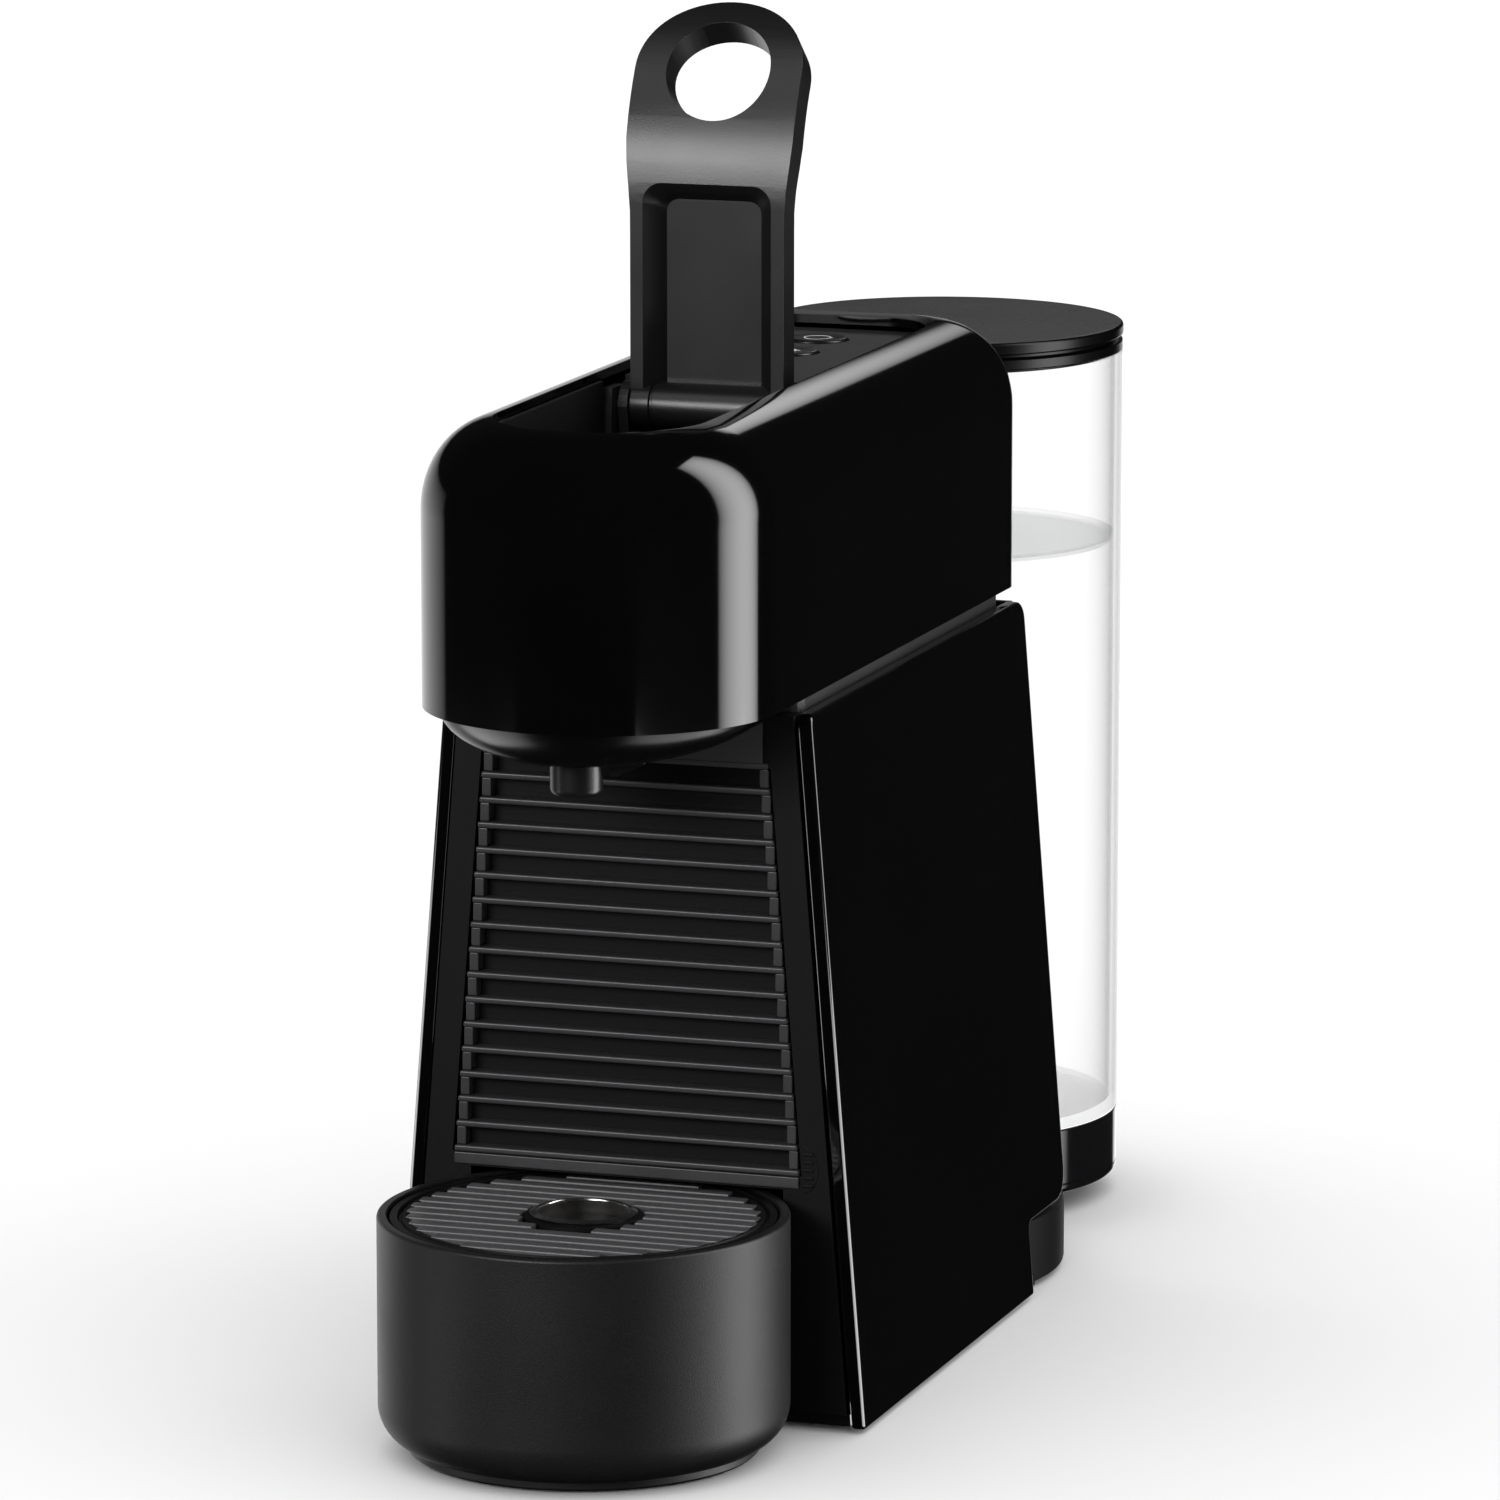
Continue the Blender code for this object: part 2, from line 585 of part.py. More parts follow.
def crank(name, side):
    """Arm on the lever's barrel whose stub pulls the sliding plate's yoke."""
    inner = side * (LEVER_HALF + GAP)
    outer = side * (LEVER_HALF + 0.0028)
    hub = [(LEVER_Y + 0.0060 * math.cos(a), LEVER_Z + 0.0060 * math.sin(a)) for a in half_turn(0)]
    end_z = LEVER_Z - CRANK_RADIUS
    tip = [(LEVER_Y + 0.0035 * math.cos(a), end_z + 0.0035 * math.sin(a)) for a in half_turn(math.pi)]
    arm = prism(name, CAST, hub + tip, 0, inner, outer, "lever")
    stub = turned("tool_" + name, CAST, disc(0.0015, side * 0.0078, side * 0.0225),
                  (0, LEVER_Y, end_z), 16, axis=0, body="lever")
    join(arm, stub)
    bore = turned("tool_bore_" + name, CAST, disc(PIN_RADIUS + 0.0003, 0.06, -0.03),
                  (0, LEVER_Y, LEVER_Z), 20, axis=0, body="lever")
    cut(arm, bore)


def half_turn(start, steps=12):
    return [start + math.pi * i / steps for i in range(steps + 1)]


def extraction_plate():
    """Sliding plate that closes on the capsule, with a pull rod and a yoke on each side."""
    front = CAPSULE_GAP_Y[0] - 0.0040
    plate = box("extraction_plate", CAST, (-0.0298, 0.0298), (front, CAPSULE_GAP_Y[0]), (0.1960, 0.2280),
                "plate")
    for side in (-1, 1):
        inner = side * 0.0272
        outer = side * 0.0298
        rod = box(f"tool_rod_{side}", CAST, (inner, outer), (front + 0.001, 0.0950), (0.2220, 0.2280),
                  "plate")
        join(plate, rod)
        yoke = box(f"tool_yoke_{side}", CAST, (inner, outer), (0.0925, 0.1075), (0.2250, 0.2492), "plate")
        join(plate, yoke)
        slot = box(f"tool_slot_{side}", CAST, (side * 0.02, side * 0.04), (0.0969, 0.1051),
                   (0.2300, 0.2478),
                   "plate")
        cut(plate, slot)
    face = turned("tool_plate_face", CAST, disc(0.0120, 0.0020),
                  (0, CAPSULE_GAP_Y[0] - 0.0010, CAPSULE_Z), 24,
                  axis=1, body="plate")
    cut(plate, face)


def capsule_cage():
    """Fixed cup that takes the capsule's body, on a flange between the cheeks, with the hot inlet behind."""
    near = CAPSULE_GAP_Y[1]
    profile = [(0, near + 0.0180), (0.0110, near + 0.0180), (0.0155, near), (0.0190, near),
               (0.0190, near + 0.0220),
               (0.0040, near + 0.0220), (0.0040, near + 0.0300), (0, near + 0.0300)]
    cage = turned("capsule_cage", CAST, profile, (0, 0, CAPSULE_Z), 24, axis=1)
    flange = box("tool_cage_flange", CAST, (-0.0233, 0.0233), (near + 0.0140, near + 0.0179),
                 (0.1872, 0.2325))
    join(cage, flange)
    bore = turned("tool_cage_bore", CAST, disc(0.0110, 0.0045, near + 0.0135), (0, 0, CAPSULE_Z), 24,
                  axis=1)
    cut(cage, bore)


def brew_cheek(name, side):
    """Side plate that carries the lever's pin and guides the sliding plate."""
    inner = side * 0.0236
    outer = side * 0.0262
    outline = [(0.0545, 0.1872), (0.0900, 0.1872), (0.0930, 0.2360), (0.0990, 0.2405), (0.1030, 0.2430),
               (0.1045, 0.2460), (0.1030, 0.2490), (0.0990, 0.2510), (0.0900, 0.2510), (0.0886, 0.2330),
               (0.0545, 0.2330)]
    cheek = prism(name, CAST, outline, 0, inner, outer)
    bore = turned("tool_bore_" + name, CAST, disc(PIN_RADIUS + 0.0003, 0.08, -0.04),
                  (0, LEVER_Y, LEVER_Z), 20, axis=0)
    cut(cheek, bore)


def coffee_duct():
    """Open trough that leads the coffee from the sliding plate forward to the outlet."""
    duct = box("coffee_duct", SATIN_BLACK, (-0.0080, 0.0080), (SPOUT_Y + 0.0060, 0.0340), (0.1872, 0.1935))
    cut(duct, box("tool_duct_channel", SATIN_BLACK, (-0.0060, 0.0060), (-0.01, 0.0320), (0.1890, 0.20)))


def capsule_chute():
    """Sloping rectangular tube from the brewing unit down to the bin."""
    def loop(half, front, back, z):
        return [(half, front, z), (half, back, z), (-half, back, z), (-half, front, z)]

    wall = 0.0015
    top = (0.0195, 0.0415, 0.0735, 0.1836)
    bend = (0.0195, 0.0420, 0.0740, 0.1600)
    low = (0.0240, 0.0580, 0.1020, 0.0640)
    bm = bmesh.new()
    loops = [loop(*low), loop(*bend), loop(*top)]
    for half, front, back, z in (top, bend, low):
        loops.append(loop(half - wall, front + wall, back - wall, z))
    add_loft(bm, loops, ring=True)
    make("capsule_chute", bm, MATTE_BLACK)


# ---------------------------------------------------------------- works inside the body
def thermoblock():
    """Cast heater that turns cold water hot, with two pipe stubs and a lug on the rear cover."""
    block = prism("thermoblock", CAST, rounded((-0.0240, 0.0240), (0.1560, 0.1960), 0.005, 3), 2, 0.1080,
                  0.1620)
    stubs = bmesh.new()
    add_turned(stubs, disc(0.0035, 0.0120, 0.1600), (0.0100, 0.1700, 0), 12)
    add_turned(stubs, disc(0.0035, 0.0120, 0.0980), (0.0100, 0.1800, 0), 12)
    join(block, make("tool_heater_stubs", stubs, CAST))
    join(block, box("tool_heater_lug", CAST, (-0.0200, 0.0200), (0.1900, COVER_INSIDE_Y - GAP),
                    (0.1085, 0.1180)))


def pump():
    """Vibration pump lying along the body: coil housing, core tube and outlet."""
    profile = [(0, 0), (0.0045, 0), (0.0045, 0.0100), (0.0110, 0.0100), (0.0110, 0.0180), (0.0180, 0.0180),
               (0.0180, 0.0560), (0.0110, 0.0560), (0.0110, 0.0660), (0.0045, 0.0660),
               (0.0045, PUMP_LENGTH),
               (0, PUMP_LENGTH)]
    turned("pump", STEEL, profile, (PUMP_X, PUMP_Y, PUMP_Z), 20, axis=1)


def pump_mount(name, near):
    """Rubber cradle that holds one end of the pump off the tray."""
    outline = rounded((PUMP_X - 0.0200, PUMP_X + 0.0200), (0.0231, PUMP_Z + 0.0160), 0.006, 3)
    cradle = prism(name, RUBBER, outline, 1, near, near + 0.0050)
    hole = turned("tool_" + name, RUBBER, disc(0.0113, 0.03, 0), (PUMP_X, near - 0.01, PUMP_Z), 24, axis=1)
    cut(cradle, hole)


def flow_meter():
    """Small turbine housing on a post that counts the water drawn."""
    foot = TRAY_DECK_TOP + GAP - METER[2]
    profile = [(0, foot), (0.0045, foot), (0.0045, -0.0060), (0.0110, -0.0060), (0.0110, 0.0060),
               (0, 0.0060)]
    turned("flow_meter", SATIN_BLACK, profile, METER, 16)


def control_board():
    """Main circuit board, on edge against the rear cover."""
    box("control_board", BOARD_GREEN, (-0.0430, -0.0414), (0.1360, COVER_INSIDE_Y - GAP), (0.0800, 0.1600))


def hose(name, finish, radius, route):
    """A hose on a smooth curve through a few chosen points."""
    points = [Vector(point) for point in route]
    padded = [points[0] * 2 - points[1]] + points + [points[-1] * 2 - points[-2]]
    samples = []
    for i in range(len(points) - 1):
        p0, p1, p2, p3 = padded[i:i + 4]
        for step in range(3):
            t = step / 3
            samples.append(0.5 * (2 * p1 + (p2 - p0) * t + (2 * p0 - 5 * p1 + 4 * p2 - p3) * t ** 2
                                  + (3 * p1 - p0 - 3 * p2 + p3) * t ** 3))
    samples.append(points[-1])
    curve = bpy.data.curves.new(name, "CURVE")
    curve.dimensions = "3D"
    curve.bevel_depth = radius
    curve.bevel_resolution = 2
    curve.use_fill_caps = True
    spline = curve.splines.new("POLY")
    spline.points.add(len(samples) - 1)
    for target, sample in zip(spline.points, samples):
        target.co = (*sample, 1)
    curve.materials.append(finish)
    piece = bpy.data.objects.new(name, curve)
    piece.parent = ROOT
    bpy.context.collection.objects.link(piece)


def hoses():
    x, y, z = METER
    hose("hose_tank_to_meter", SILICONE, 0.0025,
         [(0, ARM_Y, 0.0236), (0, ARM_Y, 0.0300), (-0.006, 0.2010, 0.0370), (-0.018, 0.1930, 0.0410),
          (-0.030, 0.1780, z), (x, y + 0.0113, z)])
    hose("hose_meter_to_pump", SILICONE, 0.0025,
         [(x, y - 0.0116, z), (x, y - 0.0150, z), (-0.030, 0.1300, 0.0460), (-0.029, 0.1285, 0.0560),
          (-0.024, 0.1240, 0.0650), (-0.013, 0.1150, 0.0675), (-0.002, 0.1110, 0.0665),
          (PUMP_X - 0.001, 0.1140, PUMP_Z), (PUMP_X, 0.1180, PUMP_Z), (PUMP_X, PUMP_Y - GAP, PUMP_Z)])
    out = PUMP_Y + PUMP_LENGTH
    hose("hose_pump_to_heater", SILICONE, 0.0022,
         [(PUMP_X, out + GAP, PUMP_Z), (PUMP_X, out + 0.0040, PUMP_Z), (0.009, out + 0.0068, 0.0710),
          (0.010, out + 0.0040, 0.0780), (0.010, 0.1900, 0.0860), (0.010, 0.1815, 0.0910),
          (0.010, 0.1800, 0.0977)])
    hose("hose_heater_to_cage", SILICONE, 0.0022,
         [(0.010, 0.1700, 0.1723), (0.010, 0.1690, 0.1830), (0.008, 0.1580, 0.2000),
          (0.003, 0.1350, 0.2100),
          (0, 0.1150, 0.2120), (0, 0.1003, CAPSULE_Z)])


# ---------------------------------------------------------------- drip drum and capsule bin
def drip_drum():
    """The round drawer front: a deep cup on a smaller foot, with a step inside the rim for the grid."""
    profile = [(0, 0.0006), (DRUM_FOOT_RADIUS, 0.0006), (DRUM_FOOT_RADIUS, 0.0030)]
    for i in range(4):
        angle = math.radians(25 + 65 * i / 3)
        profile.append((DRUM_RADIUS - DRUM_EDGE * (1 - math.sin(angle)),
                        DRUM_BOTTOM + DRUM_EDGE * (1 - math.cos(angle))))
    profile += [(DRUM_RADIUS, DRUM_TOP), (DRUM_RADIUS - 0.0026, DRUM_TOP),
                (DRUM_RADIUS - 0.0026, DRUM_TOP - 0.0042), (DRUM_RADIUS - 0.0048, DRUM_TOP - 0.0042),
                (DRUM_RADIUS - 0.0048, 0.0140), (DRUM_RADIUS - 0.0100, 0.0080), (0, 0.0080)]
    turned("drip_drum", MATTE_BLACK, profile, (0, 0, 0), 56, body="drawer")


def drip_grid():
    """Round grid of straight slats that the cup stands on, with a hole for the steel well."""
    low = DRUM_TOP - 0.0042 + GAP
    radius = DRUM_RADIUS - 0.0026 - GAP
    grid = turned("drip_grid", MATTE_BLACK, disc(radius, DRUM_TOP - low - 0.0003, low), (0, 0, 0), 48,
                  body="drawer")
    bm = bmesh.new()
    inner = radius - 0.0050
    for i in range(-7, 8):
        y = i * SLAT_PITCH
        reach = math.sqrt(inner ** 2 - (abs(y) + 0.001) ** 2)
        if abs(y) < WELL_RADIUS + 0.0020:
            start = math.sqrt((WELL_RADIUS + 0.0026) ** 2 - y ** 2)
            add_box(bm, (start, reach), (y - 0.0010, y + 0.0010), (low - 0.001, DRUM_TOP + 0.001))
            add_box(bm, (-reach, -start), (y - 0.0010, y + 0.0010), (low - 0.001, DRUM_TOP + 0.001))
        else:
            add_box(bm, (-reach, reach), (y - 0.0010, y + 0.0010), (low - 0.001, DRUM_TOP + 0.001))
    add_turned(bm, disc(WELL_RADIUS + GAP, 0.02, low - 0.01), (0, 0, 0), 28)
    cut(grid, make("tool_grid_slots", bm, MATTE_BLACK, "drawer"))


def well_ring():
    """Brushed steel sleeve that lines the hole in the grid's middle."""
    profile = [(WELL_RADIUS - 0.0010, DRUM_TOP - 0.0180), (WELL_RADIUS, DRUM_TOP - 0.0180),
               (WELL_RADIUS, DRUM_TOP),
               (WELL_RADIUS + 0.0010, DRUM_TOP), (WELL_RADIUS + 0.0010, DRUM_TOP + 0.0008),
               (WELL_RADIUS - 0.0010, DRUM_TOP + 0.0008)]
    turned("well_ring", STEEL, profile, (0, 0, 0), 28, closed=True, body="drawer")


def drawer_sled():
    """Tongue behind the drum that carries the bin out with it."""
    half = 0.0400
    sled = prism("drawer_sled", MATTE_BLACK, rounded((-half, half), (0.0300, 0.1260), 0.004, 3), 2,
                 0.0052, 0.0076,
                 "drawer")
    cut(sled, turned("tool_sled_front", MATTE_BLACK, disc(DRUM_RADIUS + GAP, 0.02, 0), (0, 0, 0), 56,
                     body="drawer"))


def capsule_bin():
    """Open bin behind the drum that catches the spent capsules."""
    outer = rounded((-0.0370, 0.0370), (0.0545, 0.1220), 0.006, 4)
    body = prism("capsule_bin", MATTE_BLACK, outer, 2, 0.0079, 0.0570, "drawer")
    inner = rounded((-0.0352, 0.0352), (0.0563, 0.1202), 0.0045, 4)
    cut(body, prism("tool_bin_inside", MATTE_BLACK, inner, 2, 0.0100, 0.08, "drawer"))


# ---------------------------------------------------------------- tank and its arm
def tank_arm():
    """Swinging foot of the tank: a low turntable under the body's rear, a thin bridge and a docking plug."""
    edge = [(0, 0.0015), (ARM_RADIUS - 0.0045, 0.0015), (ARM_RADIUS, 0.0060),
            (ARM_RADIUS, ARM_TOP - 0.0015),
            (ARM_RADIUS - 0.0015, ARM_TOP), (0, ARM_TOP)]
    arm = turned("tank_arm", MATTE_BLACK, edge, (0, ARM_Y, 0), 56, body="arm")
    scoop = turned("tool_arm_scoop", MATTE_BLACK, disc(TANK_RADIUS + 0.0012, 0.03, DOCK_TOP),
                   (0, TANK_Y, 0), 48,
                   body="arm")
    cut(arm, scoop)
    bridge = bmesh.new()
    add_turned(bridge, disc(DOCK_RADIUS, DOCK_TOP - 0.0016, 0.0015), (0, TANK_Y, 0), 40)
    join(arm, make("tool_arm_dock", bridge, MATTE_BLACK, "arm"))
    link = box("tool_arm_link", MATTE_BLACK, (-0.0240, 0.0240), (0.2300, 0.2900),
               (0.0015, DOCK_TOP - 0.0002), "arm")
    join(arm, link)
    plug = turned("tool_arm_plug", MATTE_BLACK, disc(0.0260, 0.0120, 0.0030), (0, TANK_Y, 0), 32,
                  body="arm")
    join(arm, plug)
    hollow = turned("tool_arm_hollow", MATTE_BLACK, disc(0.0230, 0.02, 0.0060), (0, TANK_Y, 0), 28,
                    body="arm")
    cut(arm, hollow)
    probe = turned("tool_arm_probe", MATTE_BLACK, disc(0.0050, 0.0080, 0.0050), (0, TANK_Y, 0), 16,
                   body="arm")
    join(arm, probe)
    bore = turned("tool_arm_bore", MATTE_BLACK, disc(BOSS_RADIUS + 0.0006, 0.03, 0), (0, ARM_Y, 0), 24,
                  body="arm")
    cut(arm, bore)


def tank_base():
    """Smoky plug-in foot of the tank with the valve's hole through its floor."""
    outer = TANK_RADIUS - 0.0002
    profile = [(0.0060, 0.0176), (outer - 0.0030, 0.0176), (outer - 0.0030, TANK_SKIRT_BOTTOM),
               (outer - 0.0010, TANK_SKIRT_BOTTOM), (outer, TANK_SKIRT_BOTTOM + 0.0012),
               (outer, TANK_FLOOR - GAP),
               (0.0060, TANK_FLOOR - GAP)]
    turned("tank_base", SMOKY, profile, (0, TANK_Y, 0), 48, closed=True, body="tank")


def tank_body():
    """Clear round tank, open on top, with a hole in its floor for the valve."""
    top = LID_BOTTOM - GAP
    inner = TANK_RADIUS - TANK_WALL
    profile = [(0.0064, TANK_FLOOR), (TANK_RADIUS, TANK_FLOOR), (TANK_RADIUS, top), (inner, top),
               (inner, TANK_FLOOR + 0.0024), (0.0064, TANK_FLOOR + 0.0024)]
    turned("tank_body", CLEAR, profile, (0, TANK_Y, 0), 48, closed=True, body="tank")


def tank_lid():
    """Disc lid with a groove round its edge and a skirt that drops inside the tank."""
    skirt = TANK_RADIUS - TANK_WALL - 0.0008
    profile = [(0, 0.2385), (skirt - 0.0018, 0.2385), (skirt - 0.0018, 0.2305), (skirt, 0.2305),
               (skirt, LID_BOTTOM),
               (TANK_RADIUS, LID_BOTTOM), (TANK_RADIUS, 0.2382), (TANK_RADIUS - 0.0008, 0.2388),
               (LID_RADIUS, 0.2394),
               (LID_RADIUS, LID_TOP), (0, LID_TOP)]
    turned("tank_lid", SATIN_BLACK, profile, (0, TANK_Y, 0), 48, body="lid")


def tank_valve():
    """Sprung plunger in the tank's floor that the arm's probe pushes open."""
    profile = [(0, 0.0134), (0.0040, 0.0134), (0.0040, 0.0170), (0.0052, 0.0200), (0.0052, 0.0270),
               (0.0100, 0.0270),
               (0.0100, 0.0290), (0, 0.0290)]
    turned("tank_valve", SATIN_BLACK, profile, (0, TANK_Y, 0), 16, body="valve")


# ---------------------------------------------------------------- the whole machine
side_panel("side_panel_left", -1)
side_panel("side_panel_right", 1)
base_tray()
base_screws()
feet()
front_grille()
rear_cover()
cord_gland()
top_deck()
head_housing()
head_base()
spout_bowl()
outlet_nozzle()
control_plate()
button("button_small_cup", "button_a")
button("button_large_cup", "button_b")
button_board()
capsule_bay()
lever()
lever_pin()
crank("crank_left", -1)
crank("crank_right", 1)
extraction_plate()
capsule_cage()
brew_cheek("brew_cheek_left", -1)
brew_cheek("brew_cheek_right", 1)
coffee_duct()
capsule_chute()
thermoblock()
pump()
pump_mount("pump_mount_front", PUMP_Y + 0.0115)
pump_mount("pump_mount_rear", PUMP_Y + 0.0590)
flow_meter()
control_board()
hoses()
drip_drum()
drip_grid()
well_ring()
drawer_sled()
capsule_bin()
tank_arm()
tank_base()
tank_body()
tank_lid()
tank_valve()
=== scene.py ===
"""Looks of a narrow lever pod coffee machine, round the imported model's frame. Metres, +Z up, front -Y."""

import math

import bmesh
import bpy
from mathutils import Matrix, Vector


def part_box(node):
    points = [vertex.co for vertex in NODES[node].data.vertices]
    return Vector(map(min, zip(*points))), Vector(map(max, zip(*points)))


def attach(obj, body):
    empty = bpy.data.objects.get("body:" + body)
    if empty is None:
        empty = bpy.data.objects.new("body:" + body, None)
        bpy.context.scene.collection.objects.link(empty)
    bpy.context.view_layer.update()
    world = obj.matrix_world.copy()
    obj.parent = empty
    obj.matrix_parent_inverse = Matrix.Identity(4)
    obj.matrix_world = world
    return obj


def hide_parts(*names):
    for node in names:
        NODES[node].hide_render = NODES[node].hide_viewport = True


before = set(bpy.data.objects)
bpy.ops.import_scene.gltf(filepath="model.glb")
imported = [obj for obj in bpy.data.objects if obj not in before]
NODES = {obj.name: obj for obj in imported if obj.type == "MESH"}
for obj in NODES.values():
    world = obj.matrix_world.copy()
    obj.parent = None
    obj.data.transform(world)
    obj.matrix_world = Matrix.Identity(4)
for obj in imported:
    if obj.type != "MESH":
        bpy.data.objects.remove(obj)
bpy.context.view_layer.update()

# ==================================================================== table, light and camera
# The machine stands on a pale table top in a plain studio: a bright even surround for the matte parts, and
# a few separate soft boxes that the gloss black plastic shows as its narrow highlights.
LENS = 213.6
SENSOR = 36.0
CAMERA_PLACE = (0.7148, -2.1570, 0.5728)
CAMERA_TURN = (math.radians(90 - 10.554), 0, math.radians(18.479))
TABLE_SIZE = 16
NOSE_PLACE = -0.13                  # the head's nose, which every soft box faces
SEEN_BRIGHTNESS = 1.45              # of the surround, seen directly and by the matte surfaces
MIRRORED_BRIGHTNESS = 0.010         # of the surround, seen in reflections

bpy.context.scene.view_settings.view_transform = "Standard"
camera_data = bpy.data.cameras.new("camera")
camera_data.lens = LENS
camera_data.sensor_width = SENSOR
camera = bpy.data.objects.new("camera", camera_data)
camera.location = CAMERA_PLACE
camera.rotation_euler = CAMERA_TURN
bpy.context.scene.collection.objects.link(camera)
bpy.context.scene.camera = camera


class Value:
    """A shader socket that Python's operators turn into Math nodes."""

    def __init__(self, recipe, socket):
        self.recipe = recipe
        self.socket = socket

    def math(self, operation, first, second):
        return self.recipe.add("ShaderNodeMath", {"operation": operation}, {0: first, 1: second})

    def __add__(self, other):
        return self.math("ADD", self, other)

    __radd__ = __add__

    def __sub__(self, other):
        return self.math("SUBTRACT", self, other)

    def __rsub__(self, other):
        return self.math("SUBTRACT", other, self)

    def __mul__(self, other):
        return self.math("MULTIPLY", self, other)

    __rmul__ = __mul__

    def __truediv__(self, other):
        return self.math("DIVIDE", self, other)

    def __rtruediv__(self, other):
        return self.math("DIVIDE", other, self)

    def __pow__(self, other):
        return self.math("POWER", self, other)


class Nodes:
    """A node tree of a light or a material, and the one method that adds any node to it."""

    def __init__(self, tree):
        self.tree = tree

    def add(self, kind, settings, sockets, output=0):
        node = self.tree.nodes.new(kind)
        for name, value in settings.items():
            if name == "stops":
                for stop, (position, colour) in zip(node.color_ramp.elements, value):
                    stop.position = position
                    stop.color = (*colour, 1)
            else:
                setattr(node, name, value)
        for name, value in sockets.items():
            if isinstance(value, Value):
                self.tree.links.new(value.socket, node.inputs[name])
            else:
                node.inputs[name].default_value = value
        return Value(self, node.outputs[output])


class Recipe(Nodes):
    """A material under construction, on one Principled shader."""

    def __init__(self, name, colour, **constants):
        self.material = bpy.data.materials.new(name)
        self.material.use_nodes = True
        super().__init__(self.material.node_tree)
        self.shader = self.tree.nodes["Principled BSDF"]
        self.shader.inputs["Base Color"].default_value = (*colour, 1)
        for name, value in constants.items():
            socket = name.replace("_", " ").title().replace("Ior", "IOR")
            self.shader.inputs[socket].default_value = value

    def place(self, scale=(1, 1, 1), about=(0, 0, 0)):
        """Object coordinates, moved so that a point is the origin and then stretched."""
        raw = self.add("ShaderNodeTexCoord", {}, {}, "Object")
        shifted = self.add("ShaderNodeVectorMath", {"operation": "SUBTRACT"}, {0: raw, 1: about})
        return self.add("ShaderNodeVectorMath", {"operation": "MULTIPLY"}, {0: shifted, 1: scale})

    def noise(self, scale, detail=3.0, stretch=(1, 1, 1)):
        return self.add("ShaderNodeTexNoise", {}, {
            "Vector": self.place(stretch), "Scale": scale, "Detail": detail})

    def blend(self, factor, first, second):
        sockets = {0: factor, 6: (*first, 1), 7: (*second, 1)}
        return self.add("ShaderNodeMix", {"data_type": "RGBA"}, sockets, 2)

    def feed(self, socket, value):
        self.tree.links.new(value.socket, self.shader.inputs[socket])

    def emboss(self, height, distance, strength=1.0):
        self.feed("Normal", self.add("ShaderNodeBump", {}, {
            "Height": height, "Distance": distance, "Strength": strength}))


# The table top is a matt pale laminate: nearly even, with the faintest cloudiness.
laminate = Recipe("pale_laminate", (0.75, 0.75, 0.75), roughness=0.6, specular_ior_level=0.0)
laminate_cloud = laminate.noise(3.0)
laminate.feed("Base Color", laminate.blend(laminate_cloud, (0.74, 0.74, 0.74), (0.76, 0.76, 0.76)))

bpy.ops.object.select_all(action="DESELECT")
bpy.ops.mesh.primitive_plane_add(size=TABLE_SIZE, location=(0, 0, 0))
table = bpy.context.object
table.name = "table_top"
table.data.materials.append(laminate.material)
table.visible_glossy = False
table.visible_shadow = False

world = bpy.data.worlds.new("studio")
bpy.context.scene.world = world
world.use_nodes = True
surround = world.node_tree.nodes["Background"]
ray = world.node_tree.nodes.new("ShaderNodeLightPath")
dim = world.node_tree.nodes.new("ShaderNodeMapRange")
dim.inputs["To Min"].default_value = SEEN_BRIGHTNESS
dim.inputs["To Max"].default_value = MIRRORED_BRIGHTNESS
world.node_tree.links.new(ray.outputs["Is Glossy Ray"], dim.inputs["Value"])
world.node_tree.links.new(dim.outputs["Result"], surround.inputs["Strength"])
surround.inputs["Color"].default_value = (1, 1, 1, 1)

soft_parts = bpy.data.collections.new("matt_and_satin_parts")
gloss_parts = bpy.data.collections.new("polished_parts")


def soft_box(name, azimuth, distance, heights, width, radiance, fade=(0.6, 0.6), tilt=0, lights=None):
    """A soft box that faces the nose; azimuth runs from the front, 0, to the right, 90.

    It fades towards its sides and its ends. A box for the matt and satin parts is a fill, and the others
    show as highlights only. Some boxes reach below the table, which casts no shadow.
    """
    low, high = heights
    lamp = bpy.data.lights.new(name, "AREA")
    lamp.shape = "RECTANGLE"
    lamp.size = width
    lamp.size_y = high - low
    lamp.energy = radiance * math.pi * width * (high - low)
    lamp.use_nodes = True
    light = Nodes(lamp.node_tree)
    spot = light.add("ShaderNodeNewGeometry", {}, {}, "Parametric")
    across = light.add("ShaderNodeSeparateXYZ", {}, {0: spot}, 0)
    along = light.add("ShaderNodeSeparateXYZ", {}, {0: spot}, 1)
    strength = ((across * (1 - across) * 4) ** fade[0]) * ((along * (1 - along) * 4) ** fade[1])
    lamp.node_tree.links.new(strength.socket, lamp.node_tree.nodes["Emission"].inputs["Strength"])
    holder = bpy.data.objects.new(name, lamp)
    angle = math.radians(azimuth)
    holder.location = (distance * math.sin(angle), NOSE_PLACE - distance * math.cos(angle), (low + high) / 2)
    holder.rotation_euler = (math.radians(90 - tilt), 0, angle)
    holder.visible_camera = False
    holder.visible_diffuse = lights == soft_parts
    holder.light_linking.receiver_collection = lights
    bpy.context.scene.collection.objects.link(holder)


